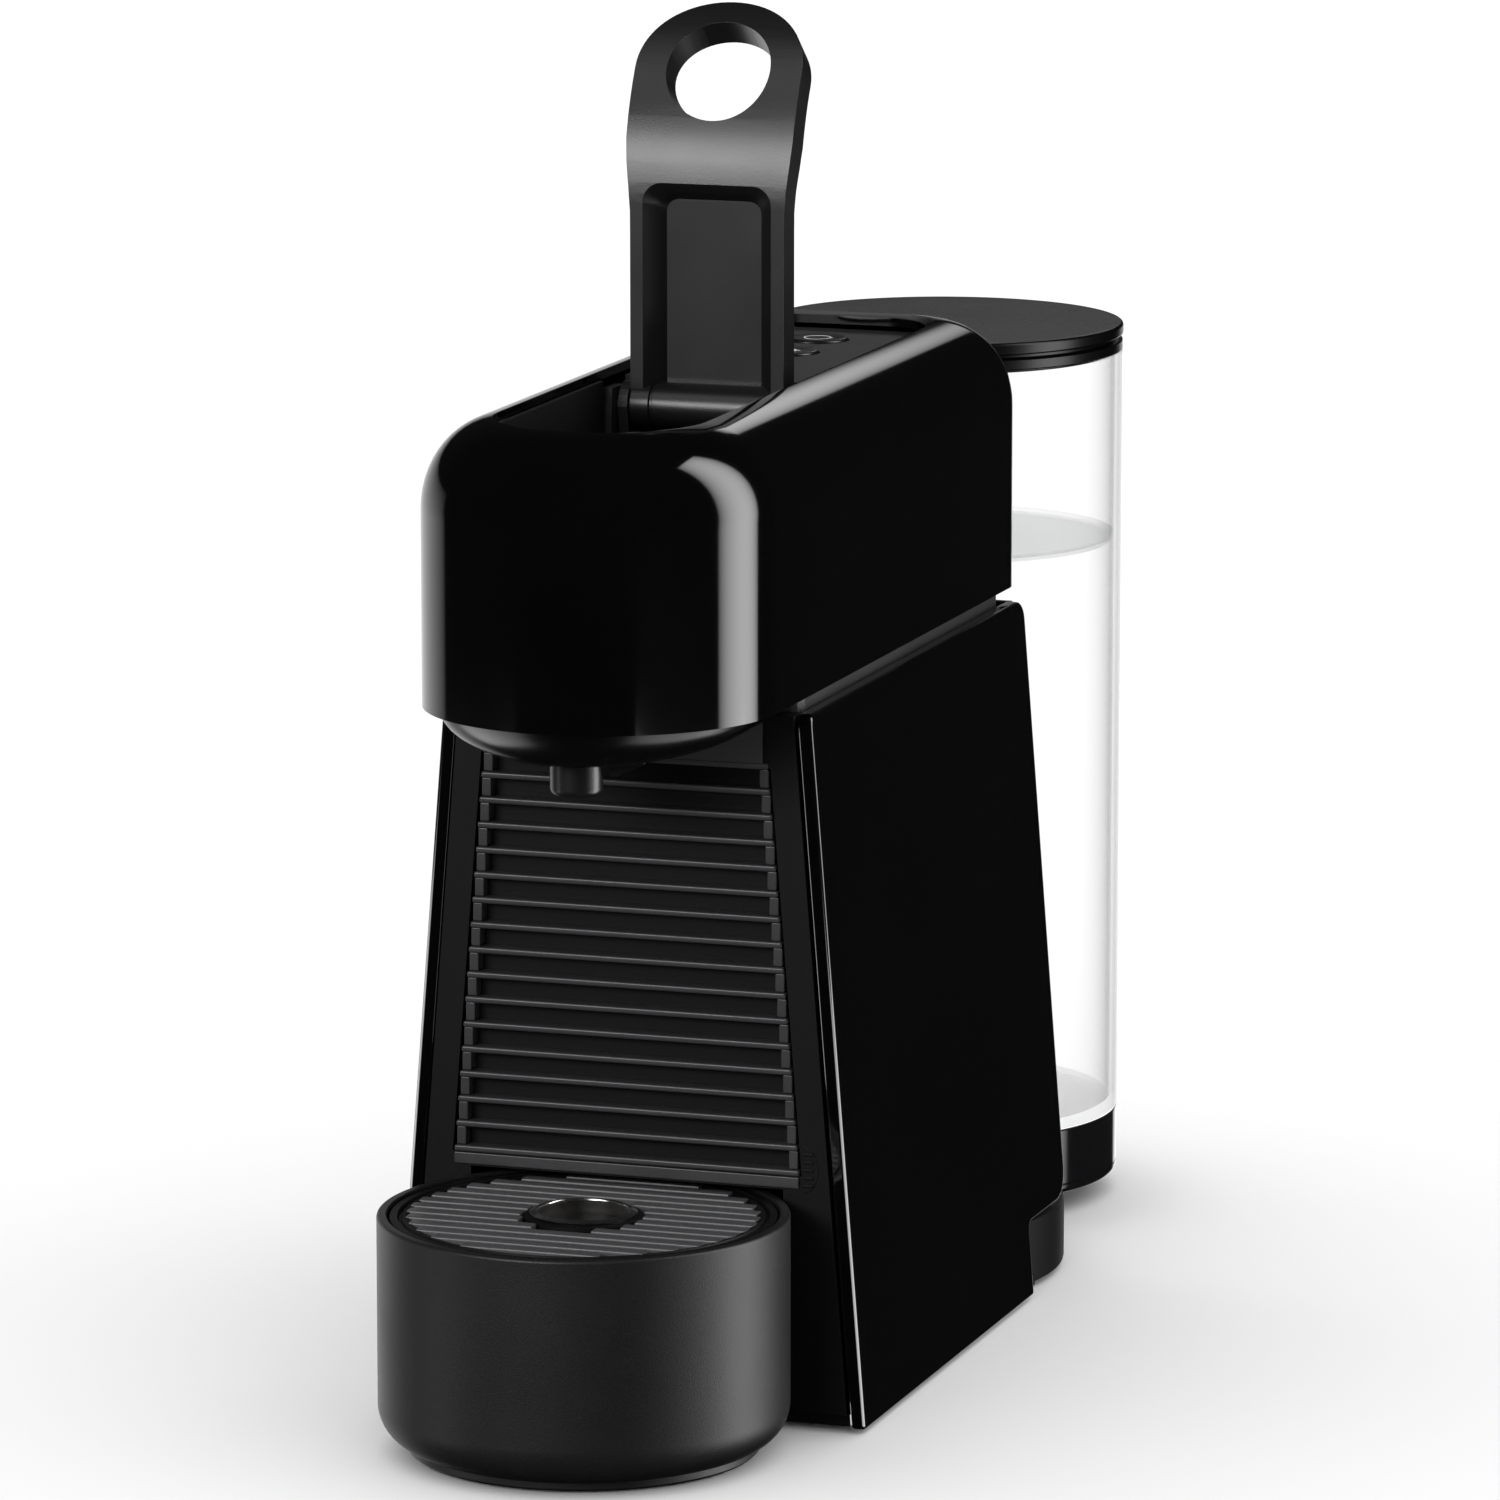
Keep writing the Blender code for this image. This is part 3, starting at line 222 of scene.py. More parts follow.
soft_box("box_right", 112, 0.60, (-0.30, 1.10), 0.40, 7.0, (0.7, 0.15))
soft_box("box_left", -137, 0.80, (-0.60, 0.36), 1.30, 1.2, (0.6, 0.6))
soft_box("box_behind", 186, 1.20, (0.52, 0.88), 0.34, 1.7, (0.5, 0.8))
soft_box("box_rear_edge", 183, 1.20, (-0.40, 0.20), 0.40, 1.6, (0.3, 0.3))
soft_box("box_edge_right", 78, 0.60, (-0.45, 0.05), 1.00, 12.0, (0.6, 0.2), lights=gloss_parts)
soft_box("box_edge_left", -70, 0.60, (-0.45, 0.05), 0.80, 12.0, (0.6, 0.2), lights=gloss_parts)
soft_box("fill_front", -18, 1.50, (0.40, 1.00), 1.20, 15.0, (0.4, 0.8), lights=soft_parts)
soft_box("fill_left", -66, 1.20, (-0.60, 0.00), 0.40, 2.2, lights=soft_parts)
soft_box("fill_right", 84, 1.20, (-0.60, 0.00), 0.40, 2.4, lights=soft_parts)
soft_box("fill_top", -20, 0.80, (1.00, 1.70), 0.80, 1.8, tilt=55, lights=soft_parts)

# ==================================================================== base tray, feet and screws
# The floor of the body is one black moulding, closed with four self-tapping steel screws from below and
# standing on bonded rubber pads.
MERGE = 1e-6


def walk(name, points):
    """Starts a piece as a single point and walks it along an outline by extrusion; leaves edit mode on."""
    bpy.ops.object.select_all(action="DESELECT")
    bpy.ops.mesh.primitive_plane_add(size=0.01, location=(0, 0, 0))
    piece = bpy.context.object
    piece.name = name
    piece.data.name = name
    bpy.ops.object.mode_set(mode="EDIT")
    bpy.ops.mesh.merge(type="CENTER")
    bpy.ops.transform.translate(value=points[0])
    for here, there in zip(points, points[1:]):
        bpy.ops.mesh.extrude_region_move(TRANSFORM_OT_translate={"value": Vector(there) - Vector(here)})
    bpy.ops.mesh.select_all(action="SELECT")
    return piece


def close_up():
    """Merges what meets and turns the faces outwards, then leaves edit mode."""
    bpy.ops.mesh.select_all(action="SELECT")
    bpy.ops.mesh.remove_doubles(threshold=MERGE)
    bpy.ops.mesh.normals_make_consistent(inside=False)
    bpy.ops.object.mode_set(mode="OBJECT")


def turn(name, centre, section, steps=96, ring=False, axis="Z"):
    """Spins a half section of (radius, height) pairs about an axis through centre."""
    along = Vector([axis == letter for letter in "XYZ"])
    out = Vector((0, 0, 1)) if axis != "Z" else Vector((1, 0, 0))
    points = [Vector(centre) + out * radius + along * height for radius, height in section]
    if ring:
        points.append(points[0])
    piece = walk(name, points)
    bpy.ops.mesh.remove_doubles(threshold=MERGE)
    bpy.ops.mesh.select_all(action="SELECT")
    bpy.ops.mesh.spin(steps=steps, angle=math.tau, center=centre, axis=along)
    close_up()
    return piece


def slab(name, outline, depth):
    """Fills an outline and draws it out by a depth vector."""
    piece = walk(name, [*outline, outline[0]])
    bpy.ops.mesh.remove_doubles(threshold=MERGE)
    bpy.ops.mesh.select_all(action="SELECT")
    bpy.ops.mesh.edge_face_add()
    bpy.ops.mesh.extrude_region_move(TRANSFORM_OT_translate={"value": depth})
    close_up()
    return piece


def apply(piece, kind, **settings):
    """Adds a modifier and applies it."""
    bpy.ops.object.select_all(action="DESELECT")
    piece.select_set(True)
    bpy.context.view_layer.objects.active = piece
    modifier = piece.modifiers.new(kind.title(), kind)
    for name, value in settings.items():
        setattr(modifier, name, value)
    bpy.ops.object.modifier_apply(modifier=modifier.name)


def soften(piece, width, segments=3, angle=30):
    """Rounds every edge sharper than an angle."""
    apply(piece, "BEVEL", width=width, segments=segments, limit_method="ANGLE",
          angle_limit=math.radians(angle), harden_normals=False)


def combine(piece, other, operation="DIFFERENCE"):
    """Cuts a helper shape out of a piece, or joins it on, and removes the helper."""
    apply(piece, "BOOLEAN", object=other, operation=operation, solver="EXACT")
    bpy.data.objects.remove(other)


def join(name, pieces):
    """Makes several shapes one piece, each still a closed body."""
    bpy.ops.object.select_all(action="DESELECT")
    for piece in pieces:
        piece.select_set(True)
    bpy.context.view_layer.objects.active = pieces[0]
    bpy.ops.object.join()
    pieces[0].name = name
    return pieces[0]


def settle(piece, finish, body, slot, *nodes, angle=32, lit=True):
    """Gives a finished piece its finish, its smooth shading and its place on a body."""
    bpy.ops.object.select_all(action="DESELECT")
    piece.select_set(True)
    bpy.context.view_layer.objects.active = piece
    piece.data.materials.clear()
    piece.data.materials.append(finish.material)
    bpy.ops.object.shade_smooth_by_angle(angle=math.radians(angle))
    apply(piece, "WEIGHTED_NORMAL", keep_sharp=True)
    if slot in ("gloss_black", "smoky_plastic"):
        gloss_parts.objects.link(piece)
    elif lit and slot != "clear_plastic":
        soft_parts.objects.link(piece)
    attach(piece, body)
    if nodes:
        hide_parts(*nodes)


def dress(finish, *nodes):
    """Gives CAD nodes that stay in place a better material."""
    for name in nodes:
        NODES[name].data.materials.clear()
        NODES[name].data.materials.append(finish.material)
        soft_parts.objects.link(NODES[name])


def black_plastic(name, dark, light, roughness, grain, grain_depth, shine=0.5):
    """Moulded black plastic with a spark-eroded grain and a faint cloudiness in its colour and its shine."""
    recipe = Recipe(name, dark, roughness=roughness, specular_ior_level=shine)
    cloud = recipe.noise(45.0, 4.0)
    fine = recipe.noise(grain, 2.0)
    recipe.feed("Base Color", recipe.blend(cloud * 0.4 + fine * 0.6, dark, light))
    recipe.feed("Roughness", roughness - 0.05 + cloud * 0.10 + fine * 0.06)
    recipe.emboss(fine, grain_depth)
    return recipe


matte_black = black_plastic("matte_black_moulding", (0.0016, 0.0016, 0.0018), (0.0030, 0.0030, 0.0033),
                            0.52, 2600.0, 0.00004, 0.16)
rubber = black_plastic("black_rubber", (0.006, 0.006, 0.006), (0.012, 0.012, 0.012), 0.85, 900.0, 0.00008)

steel = Recipe("brushed_steel", (0.60, 0.60, 0.59), roughness=0.26, metallic=1.0)
brushing = steel.noise(700.0, 3.0, (1, 1, 0.04))
steel.feed("Base Color", steel.blend(steel.noise(60.0), (0.52, 0.52, 0.51), (0.68, 0.68, 0.67)))
steel.feed("Roughness", 0.16 + brushing * 0.22)
steel.emboss(brushing, 0.00001)

dress(matte_black, "base_tray")
dress(rubber, "foot_left", "foot_right", "foot_rear", "arm_foot")
dress(steel, "base_screw_1", "base_screw_2", "base_screw_3", "base_screw_4")

# ==================================================================== side panels
# Two thin piano-black plates, moulded in ABS and polished in the tool, clip to the sides of the body. They
# lean outwards going down, and are notched low behind for the swinging tank foot.
panel_low, panel_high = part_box("side_panel_right")
PANEL_WALL = 0.0040
PANEL_LEAN = 0.0144 / 0.1798        # how far a panel spreads for each metre that it drops
PANEL_EDGE = 0.0019                 # the rounding of its edges
NOTCH_DEPTH = 0.0347                # from the panel's rear edge to the notch's front end
NOTCH_TOP = 0.0205

gloss_black = Recipe("piano_black", (0.0025, 0.0025, 0.0030), roughness=0.07)
haze = gloss_black.noise(22.0, 5.0)
ripple = gloss_black.noise(420.0, 1.0)
gloss_black.feed("Base Color", gloss_black.blend(haze, (0.0007, 0.0007, 0.0008), (0.0014, 0.0014, 0.0016)))
gloss_black.feed("Roughness", 0.040 + haze * 0.060)
gloss_black.emboss(ripple, 0.0000018)


def arc(centre, radius, start, end, steps):
    """Points along a circular arc in a plane, with angles in degrees; radius may be a pair for an ellipse."""
    across, up = radius if isinstance(radius, tuple) else (radius, radius)
    angles = [math.radians(start + (end - start) * i / steps) for i in range(steps + 1)]
    return [(centre[0] + across * math.cos(a), centre[1] + up * math.sin(a)) for a in angles]


def panel_outline():
    """The panel's outline seen from the side, as (y, z) pairs."""
    front = panel_low.y
    rear = panel_high.y
    low = panel_low.z
    top = panel_high.z
    notch = rear - NOTCH_DEPTH
    points = arc((front + 0.0015, low + 0.0015), 0.0015, 180, 270, 4)
    points += arc((notch - 0.0010, low + 0.0010), 0.0010, 270, 360, 4)
    points += arc((notch + 0.0025, NOTCH_TOP - 0.0025), 0.0025, 180, 90, 5)
    points += arc((rear - 0.0085, NOTCH_TOP + 0.0080), 0.0080, 270, 355, 6)
    points += arc((rear - 0.0050, top - 0.0050), 0.0050, 0, 90, 6)
    points += arc((front + 0.0032, top - 0.0032), 0.0032, 90, 180, 6)
    return points


for side, name in ((-1, "left"), (1, "right")):
    outline = [(side * (panel_high.x - (z - panel_low.z) * PANEL_LEAN), y, z) for y, z in panel_outline()]
    panel = slab("panel_" + name, outline, (-side * PANEL_WALL, 0, 0))
    soften(panel, PANEL_EDGE, 6, 50)
    settle(panel, gloss_black, "body", "gloss_black", "side_panel_" + name)

# ==================================================================== front grille
# One matte black moulding between the panels: a plain plate on top, a ladder of thin louvres that hide the
# air inlet, a sill, and two cheeks that run down each side of the drawer's mouth.
grille_low, grille_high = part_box("front_grille")
MOUTH_HALF = 0.0412
MOUTH_TOP = 0.0614
RIB_PITCH = 0.00638
RIB_COUNT = 16
RIB_FIRST = MOUTH_TOP + 0.0050
RIB_DROP = 0.0011                   # from a rib's place to its underside
SILL_TOP = MOUTH_TOP + 0.0036
PLATE_BOTTOM = RIB_FIRST + RIB_COUNT * RIB_PITCH - RIB_DROP
WINDOW_MARGIN = 0.0070

louvre_black = black_plastic("louvre_black", (0.014, 0.014, 0.015), (0.022, 0.022, 0.024),
                             0.32, 2100.0, 0.00003)
# This near-black, nearly unreflective finish is painted shade for the dark pockets between the louvres.
painted_pocket_shade = black_plastic("painted_pocket_shade", (0.0004, 0.0004, 0.0004), (0.0010, 0.0010, 0.0010),
                             0.8, 2100.0, 0.00003, 0.05)


def grille_half(z):
    """Half width between the panels at a height."""
    return panel_high.x - (z - panel_low.z) * PANEL_LEAN - PANEL_WALL - 0.0003


def block(name, x_range, y_range, z_range):
    """A box drawn out from an outline, for shapes that are bevelled or joined afterwards."""
    left, right = x_range
    near, far = y_range
    bottom, top = z_range
    outline = [(left, near, bottom), (right, near, bottom), (right, far, bottom), (left, far, bottom)]
    return slab(name, outline, (0, 0, top - bottom))


front = grille_low.y
back = grille_high.y
low_half, low = grille_half(grille_low.z), grille_low.z
high_half, high = grille_half(grille_high.z), grille_high.z
frame_outline = [
    (-low_half, low), (-MOUTH_HALF, low), (-MOUTH_HALF, MOUTH_TOP), (MOUTH_HALF, MOUTH_TOP),
    (MOUTH_HALF, low), (low_half, low), (high_half, high), (-high_half, high),
]
plate_y = front + 0.0004
plate = slab("grille_frame", [(x, plate_y, z) for x, z in frame_outline], (0, back - front - 0.0004, 0))
sill_half = grille_half(SILL_TOP) - WINDOW_MARGIN
shadow_half = grille_half(PLATE_BOTTOM) - WINDOW_MARGIN
window_outline = [
    (-sill_half, SILL_TOP), (sill_half, SILL_TOP), (shadow_half, PLATE_BOTTOM), (-shadow_half, PLATE_BOTTOM),
]
window_y = front - 0.002
window = slab("tool_window", [(x, window_y, z) for x, z in window_outline], (0, back - front - 0.0005, 0))
combine(plate, window)
soften(plate, 0.0005, 2)
settle(plate, matte_black, "body", "matte_black", "front_grille")

louvres = []
for number in range(RIB_COUNT + 1):
    z = RIB_FIRST + number * RIB_PITCH - RIB_DROP
    half = grille_half(z) - 0.0075
    blade = block("louvre", (-half, half), (front - 0.0002, front + 0.0044), (z - 0.0003, z + 0.0013))
    soften(blade, 0.0005, 3)
    louvres.append(blade)
    if number < RIB_COUNT:
        for side in (-1, 1):
            ends = sorted((side * (half - 0.0029), side * (half - 0.0005)))
            tooth = block("tooth", ends, (front + 0.0006, front + 0.0044),
                          (z + 0.0014, z + RIB_PITCH - 0.0004))
            soften(tooth, 0.0003, 2)
            louvres.append(tooth)
settle(join("grille_louvres", louvres), louvre_black, "body", "matte_black")

# Behind the louvres stands a near-black sheet: painted shade for the pockets between them.
shade_sheet_half = grille_half(PLATE_BOTTOM) - 0.0080
shade_sheet = block("grille_shade_sheet", (-shade_sheet_half, shade_sheet_half), (back - 0.0024, back - 0.0018),
                (SILL_TOP + 0.0006, PLATE_BOTTOM - 0.0006))
soften(shade_sheet, 0.0001, 1)
settle(shade_sheet, painted_pocket_shade, "body", "matte_black")

plate_half = high_half - 0.0078
trim = block("grille_plate", (-plate_half, plate_half), (front - 0.0001, front + 0.0003),
             (PLATE_BOTTOM + 0.0012, high))
soften(trim, 0.00015, 2)
sill_half = grille_half(SILL_TOP) - 0.0076
sill = block("grille_sill", (-sill_half, sill_half), (front - 0.0003, front + 0.0003),
             (MOUTH_TOP + 0.0006, SILL_TOP - 0.0002))
soften(sill, 0.00025, 2)
settle(join("grille_trim", [trim, sill]), louvre_black, "body", "matte_black")

# The small ribbed finger grip beside the grille releases the right panel; it is a half-oval pad with ribs.
GRIP_X = MOUTH_HALF + 0.0072
GRIP_Z = 0.0668
GRIP_RIBS = 5
GRIP_RIB_PITCH = 0.0020
grip_outline = arc((GRIP_X - 0.0022, GRIP_Z), (0.0044, 0.0062), -90, 90, 10)
grip = slab("panel_grip", [(x, front + 0.0002, z) for x, z in grip_outline], (0, 0.0010, 0))
soften(grip, 0.0003, 2)
grip_parts = [grip]
for number in range(GRIP_RIBS):
    z = GRIP_Z - 0.0040 + number * GRIP_RIB_PITCH
    rib = block("grip_rib", (GRIP_X - 0.0020, GRIP_X + 0.0008), (front - 0.0002, front + 0.0006),
                (z - 0.0004, z + 0.0004))
    soften(rib, 0.0002, 2)
    grip_parts.append(rib)
settle(join("panel_grip", grip_parts), matte_black, "body", "matte_black")

# ==================================================================== rear cover and gland
# The back of the body is a matte black plate with cooling slots and the bushing of the mains lead.
dress(matte_black, "rear_cover")
dress(rubber, "cord_gland")

# ==================================================================== water works and electrics
# Inside stand the cast heater, the vibration pump in its rubber cradles, the flow meter, the silicone hoses
# and the circuit boards; they show only through the slots and the openings.
cast = Recipe("cast_aluminium", (0.52, 0.52, 0.53), roughness=0.5, metallic=1.0)
pits = cast.noise(900.0, 4.0)
cast.feed("Base Color", cast.blend(pits, (0.40, 0.40, 0.41), (0.62, 0.62, 0.63)))
cast.feed("Roughness", 0.36 + pits * 0.28)
cast.emboss(pits, 0.00008)

silicone = Recipe("silicone_hose", (0.70, 0.69, 0.65), roughness=0.45)
bloom = silicone.noise(260.0)
silicone.feed("Base Color", silicone.blend(bloom, (0.62, 0.61, 0.57), (0.78, 0.77, 0.73)))
silicone.feed("Roughness", 0.36 + bloom * 0.20)

circuit = Recipe("circuit_board", (0.02, 0.14, 0.06), roughness=0.4)
tracks = circuit.add("ShaderNodeTexBrick", {}, {
    "Vector": circuit.place((1, 1, 1)), "Scale": 160.0, "Color1": (0.010, 0.100, 0.040, 1),
    "Color2": (0.016, 0.130, 0.055, 1), "Mortar": (0.05, 0.24, 0.10, 1), "Mortar Size": 0.03})
circuit.feed("Base Color", tracks)
circuit.feed("Roughness", 0.30 + circuit.noise(300.0) * 0.25)

inner_black = black_plastic("inner_black", (0.006, 0.006, 0.0065), (0.012, 0.012, 0.013),
                            0.42, 1800.0, 0.00003)

dress(cast, "thermoblock")
dress(steel, "pump")
dress(rubber, "pump_mount_front", "pump_mount_rear")
dress(inner_black, "flow_meter")
dress(circuit, "control_board", "button_board")
dress(silicone, "hose_tank_to_meter", "hose_meter_to_pump", "hose_pump_to_heater", "hose_heater_to_cage")

# ==================================================================== neck, head floor and brewing unit
# A set-back neck plate carries the head; on the head's floor stand the cheeks, the capsule cage, the sliding
# plate that the lever's cranks pull, the coffee duct and the chute for spent capsules.
neck_grey = black_plastic("neck_grey", (0.016, 0.016, 0.018), (0.026, 0.026, 0.028), 0.45, 2000.0, 0.00003)
dress(neck_grey, "top_deck")
dress(matte_black, "head_base", "capsule_chute")
dress(cast, "capsule_cage", "extraction_plate")
# The cheeks and the cranks get a near-black finish, darker than the bare cast parts beside them.
near_black_cast = black_plastic("near_black_cast_finish", (0.004, 0.004, 0.004), (0.009, 0.009, 0.009),
                       0.42, 1100.0, 0.00006)
dress(near_black_cast, "brew_cheek_left", "brew_cheek_right", "crank_left", "crank_right")
dress(inner_black, "coffee_duct")
dress(steel, "lever_pin")

# ==================================================================== head shell
# The head is one piano-black moulding: a half-round nose, a broad round shoulder along the nose and the
# sides, a flat rear end, and a long opening in the top with a finely rounded edge.
head_low, head_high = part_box("head_housing")
HEAD_HALF = head_high.x
NOSE_Y = head_low.y + HEAD_HALF
SHOULDER = (0.0195, 0.0225)        # across and down
REAR_CORNER = 0.0110
REAR_ROUND = 0.45                   # the rear shoulder's share of the side shoulder
SHELL_WALL = 0.0022
OPENING_HALF = 0.0268
OPENING_REAR_Y = head_high.y - 0.0165
OPENING_CORNER = 0.016


def nose_outline(half, nose_y, rear_y, steps=48, corner=REAR_CORNER):
    """A half-round front and a square rear with round corners, seen from above, as (x, y) pairs."""
    points = arc((half - corner, rear_y - corner), corner, 0, 90, 8)
    points += arc((corner - half, rear_y - corner), corner, 90, 180, 8)
    return points + arc((0, nose_y), half, 180, 360, steps)


def loft(name, loops):
    """Walks the first loop, fills it, and draws it up through the others one extrusion at a time."""
    piece = walk(name, [*loops[0], loops[0][0]])
    bpy.ops.mesh.remove_doubles(threshold=MERGE)
    bpy.ops.mesh.select_all(action="SELECT")
    bpy.ops.mesh.edge_face_add()
    for previous, loop in zip(loops, loops[1:]):
        bpy.ops.mesh.extrude_region_move()
        mesh = bmesh.from_edit_mesh(piece.data)
        for vert in mesh.verts:
            if vert.select:
                gaps = [(Vector(point) - vert.co).length for point in previous]
                vert.co = loop[gaps.index(min(gaps))]
        bmesh.update_edit_mesh(piece.data)
    close_up()
    return piece


def head_loops(inset, drop, steps):
    """Loops that climb the head's wall and close in over its shoulder."""
    across, down = SHOULDER[0] - inset, SHOULDER[1] - inset
    top = head_high.z - inset
    rear = head_high.y - inset
    loops = [[(x, y, head_low.z - drop) for x, y in nose_outline(HEAD_HALF - inset, NOSE_Y, rear)]]
    for i in range(steps + 1):
        angle = math.pi / 2 * i / steps
        half = HEAD_HALF - inset - across * (1 - math.cos(angle))
        z = top - down * (1 - math.sin(angle))
        eased = rear - REAR_ROUND * across * (1 - math.cos(angle))
        loops.append([(x, y, z) for x, y in nose_outline(half, NOSE_Y, eased)])
    return loops


shell = loft("head_shell", head_loops(0, 0, 14))
combine(shell, loft("tool_inside", head_loops(SHELL_WALL, 0.004, 8)))
opening = nose_outline(OPENING_HALF, NOSE_Y, OPENING_REAR_Y, corner=OPENING_CORNER)
combine(shell, slab("tool_opening", [(x, y, head_high.z - 0.010) for x, y in opening], (0, 0, 0.02)))
soften(shell, 0.00045, 3, 42)
settle(shell, gloss_black, "body", "gloss_black", "head_housing")

# ==================================================================== spout bowl and nozzle
# Under the nose hangs a shallow polished bowl; a short satin nozzle comes through it, with a locating lug on
# each side for the splash guard.
bowl_low, bowl_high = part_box("spout_bowl")
nozzle_low, nozzle_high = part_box("outlet_nozzle")
SPOUT_X, SPOUT_Y = (nozzle_low.x + nozzle_high.x) / 2, (nozzle_low.y + nozzle_high.y) / 2
NOZZLE_RADIUS = (nozzle_high.x - nozzle_low.x) / 2

BOWL_STEPS = 10
BOWL_FLAT = 0.0120                  # half width of the flat at the bottom of the bowl

bowl_loops = []
for i in range(BOWL_STEPS + 1):
    t = math.pi / 2 * i / BOWL_STEPS
    half = BOWL_FLAT + (bowl_high.x - BOWL_FLAT) * math.cos(t)
    nose_y = SPOUT_Y + (bowl_low.y + bowl_high.x - SPOUT_Y) * math.cos(t)
    z = bowl_high.z - (bowl_high.z - bowl_low.z) * math.sin(t)
    bowl_loops.append([(x, y, z) for x, y in nose_outline(half, nose_y, bowl_high.y, 40, 0.004)])
bowl = loft("spout_bowl_polished", bowl_loops)
soften(bowl, 0.0004, 2, 40)
bowl_black = black_plastic("bowl_black", (0.0012, 0.0012, 0.0013), (0.0022, 0.0022, 0.0024),
                           0.22, 420.0, 0.000002, 0.10)
settle(bowl, bowl_black, "body", "gloss_black", "spout_bowl")

satin_black = black_plastic("satin_black_moulding", (0.0034, 0.0034, 0.0036), (0.0054, 0.0054, 0.0057),
                            0.27, 3200.0, 0.000025)
nozzle_section = [(0.0030, nozzle_low.z + 0.0006), (0.0036, nozzle_low.z)]
nozzle_section += arc((NOZZLE_RADIUS - 0.0020, nozzle_low.z + 0.0020), 0.0020, 270, 360, 6)
nozzle_section += [(NOZZLE_RADIUS, bowl_low.z - 0.0006), (NOZZLE_RADIUS - 0.0006, bowl_low.z - 0.0002),
                   (0.0046, bowl_low.z - 0.0002), (0.0046, nozzle_high.z), (0.0030, nozzle_high.z)]
nozzle = turn("outlet_spout", (SPOUT_X, SPOUT_Y, 0), nozzle_section, 72, ring=True)
settle(nozzle, satin_black, "body", "satin_black", "outlet_nozzle")

lugs = []
lug_top = bowl_low.z - 0.0001
for side, reach, drop in ((-1, 0.0050, 0.0030), (1, 0.0090, 0.0046)):
    root = side * (NOZZLE_RADIUS + 0.0012)
    tip = side * (NOZZLE_RADIUS + 0.0012 + reach)
    foot = bowl_low.z - drop
    outline = [(root, lug_top), (root, foot), (root + side * 0.0014, foot), (tip, bowl_low.z - 0.0010),
               (tip, lug_top)]
    lug = slab("lug", [(x, SPOUT_Y + 0.0020, z) for x, z in outline], (0, 0.0024, 0))
    soften(lug, 0.0004, 2)
    lugs.append(lug)
settle(join("spout_lugs", lugs), satin_black, "body", "satin_black")

# ==================================================================== capsule bay
# The liner of the front half of the opening is a matte black tray: the lever folds into it, and a capsule
# drops through the round-cornered slot with its raised lip.
bay_low, bay_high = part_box("capsule_bay")
BAY_WALL = 0.0014
BAY_FLOOR = bay_low.z + 0.0016
BAY_NOSE_Y = NOSE_Y - 0.0010
BAY_CORNER = 0.001
SLOT = (0.0175, bay_high.y - 0.0465, bay_high.y - 0.0185)     # half width, front and rear
SLOT_CORNER = 0.006


def rounded(half, front_y, rear_y, radius, steps=8):
    """A rectangle with round corners seen from above, as (x, y) pairs."""
    points = arc((half - radius, front_y + radius), radius, -90, 0, steps)
    points += arc((half - radius, rear_y - radius), radius, 0, 90, steps)
    points += arc((-half + radius, rear_y - radius), radius, 90, 180, steps)
    points += arc((-half + radius, front_y + radius), radius, 180, 270, steps)
    return points


outline = nose_outline(bay_high.x, BAY_NOSE_Y, bay_high.y, corner=BAY_CORNER)
bay = slab("bay_liner", [(x, y, bay_low.z) for x, y in outline], (0, 0, bay_high.z - bay_low.z))
hollow = nose_outline(bay_high.x - BAY_WALL, BAY_NOSE_Y, bay_high.y + 0.002, corner=BAY_CORNER)
combine(bay, slab("tool_bay", [(x, y, BAY_FLOOR) for x, y in hollow], (0, 0, 0.02)))
slot_hole = [(x, y, bay_low.z - 0.002) for x, y in rounded(*SLOT, SLOT_CORNER)]
combine(bay, slab("tool_slot", slot_hole, (0, 0, 0.006)))
soften(bay, 0.0004, 2)
settle(bay, matte_black, "body", "matte_black", "capsule_bay")

outline = rounded(SLOT[0] + 0.0014, SLOT[1] - 0.0014, SLOT[2] + 0.0012, 0.0072)
lip = slab("slot_lip", [(x, y, BAY_FLOOR + 0.0001) for x, y in outline], (0, 0, 0.0009))
lip_hole = [(x, y, BAY_FLOOR - 0.001) for x, y in rounded(*SLOT, SLOT_CORNER)]
combine(lip, slab("tool_lip", lip_hole, (0, 0, 0.004)))
soften(lip, 0.0003, 3)
settle(lip, satin_black, "body", "matte_black")

# ==================================================================== control plate and buttons
# Behind the lever lies a dark grey plate with a soft-touch finish; two round buttons stand in it, each with
# a pale printed ring and handle, the outline of a small and a large cup seen from above.
deck_low, deck_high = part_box("control_plate")
plate_grey = black_plastic("soft_touch_grey", (0.013, 0.013, 0.014), (0.019, 0.019, 0.020),
                           0.50, 2800.0, 0.00003)
BUTTON_GAP = 0.0004
BUTTONS = (("button_small_cup", "button_small", 0.0024), ("button_large_cup", "button_large", 0.0036))


def button_place(node):
    """A button's centre, radius, and lowest and highest points."""
    button_low, button_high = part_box(node)
    centre = ((button_low.x + button_high.x) / 2, (button_low.y + button_high.y) / 2, 0)
    return centre, (button_high.x - button_low.x) / 2, button_low.z, button_high.z


deck = block("control_deck", (deck_low.x, deck_high.x), (deck_low.y, deck_high.y), (deck_low.z, deck_high.z))
hole_low, hole_high = deck_low.z - 0.003, deck_high.z + 0.003
for node, _, _ in BUTTONS:
    centre, radius, _, _ = button_place(node)
    hole = radius + BUTTON_GAP
    section = [(0, hole_low), (hole, hole_low), (hole, hole_high), (0, hole_high)]
    combine(deck, turn("tool_hole", centre, section, 64))
soften(deck, 0.0003, 2)
settle(deck, plate_grey, "body", "matte_black", "control_plate")

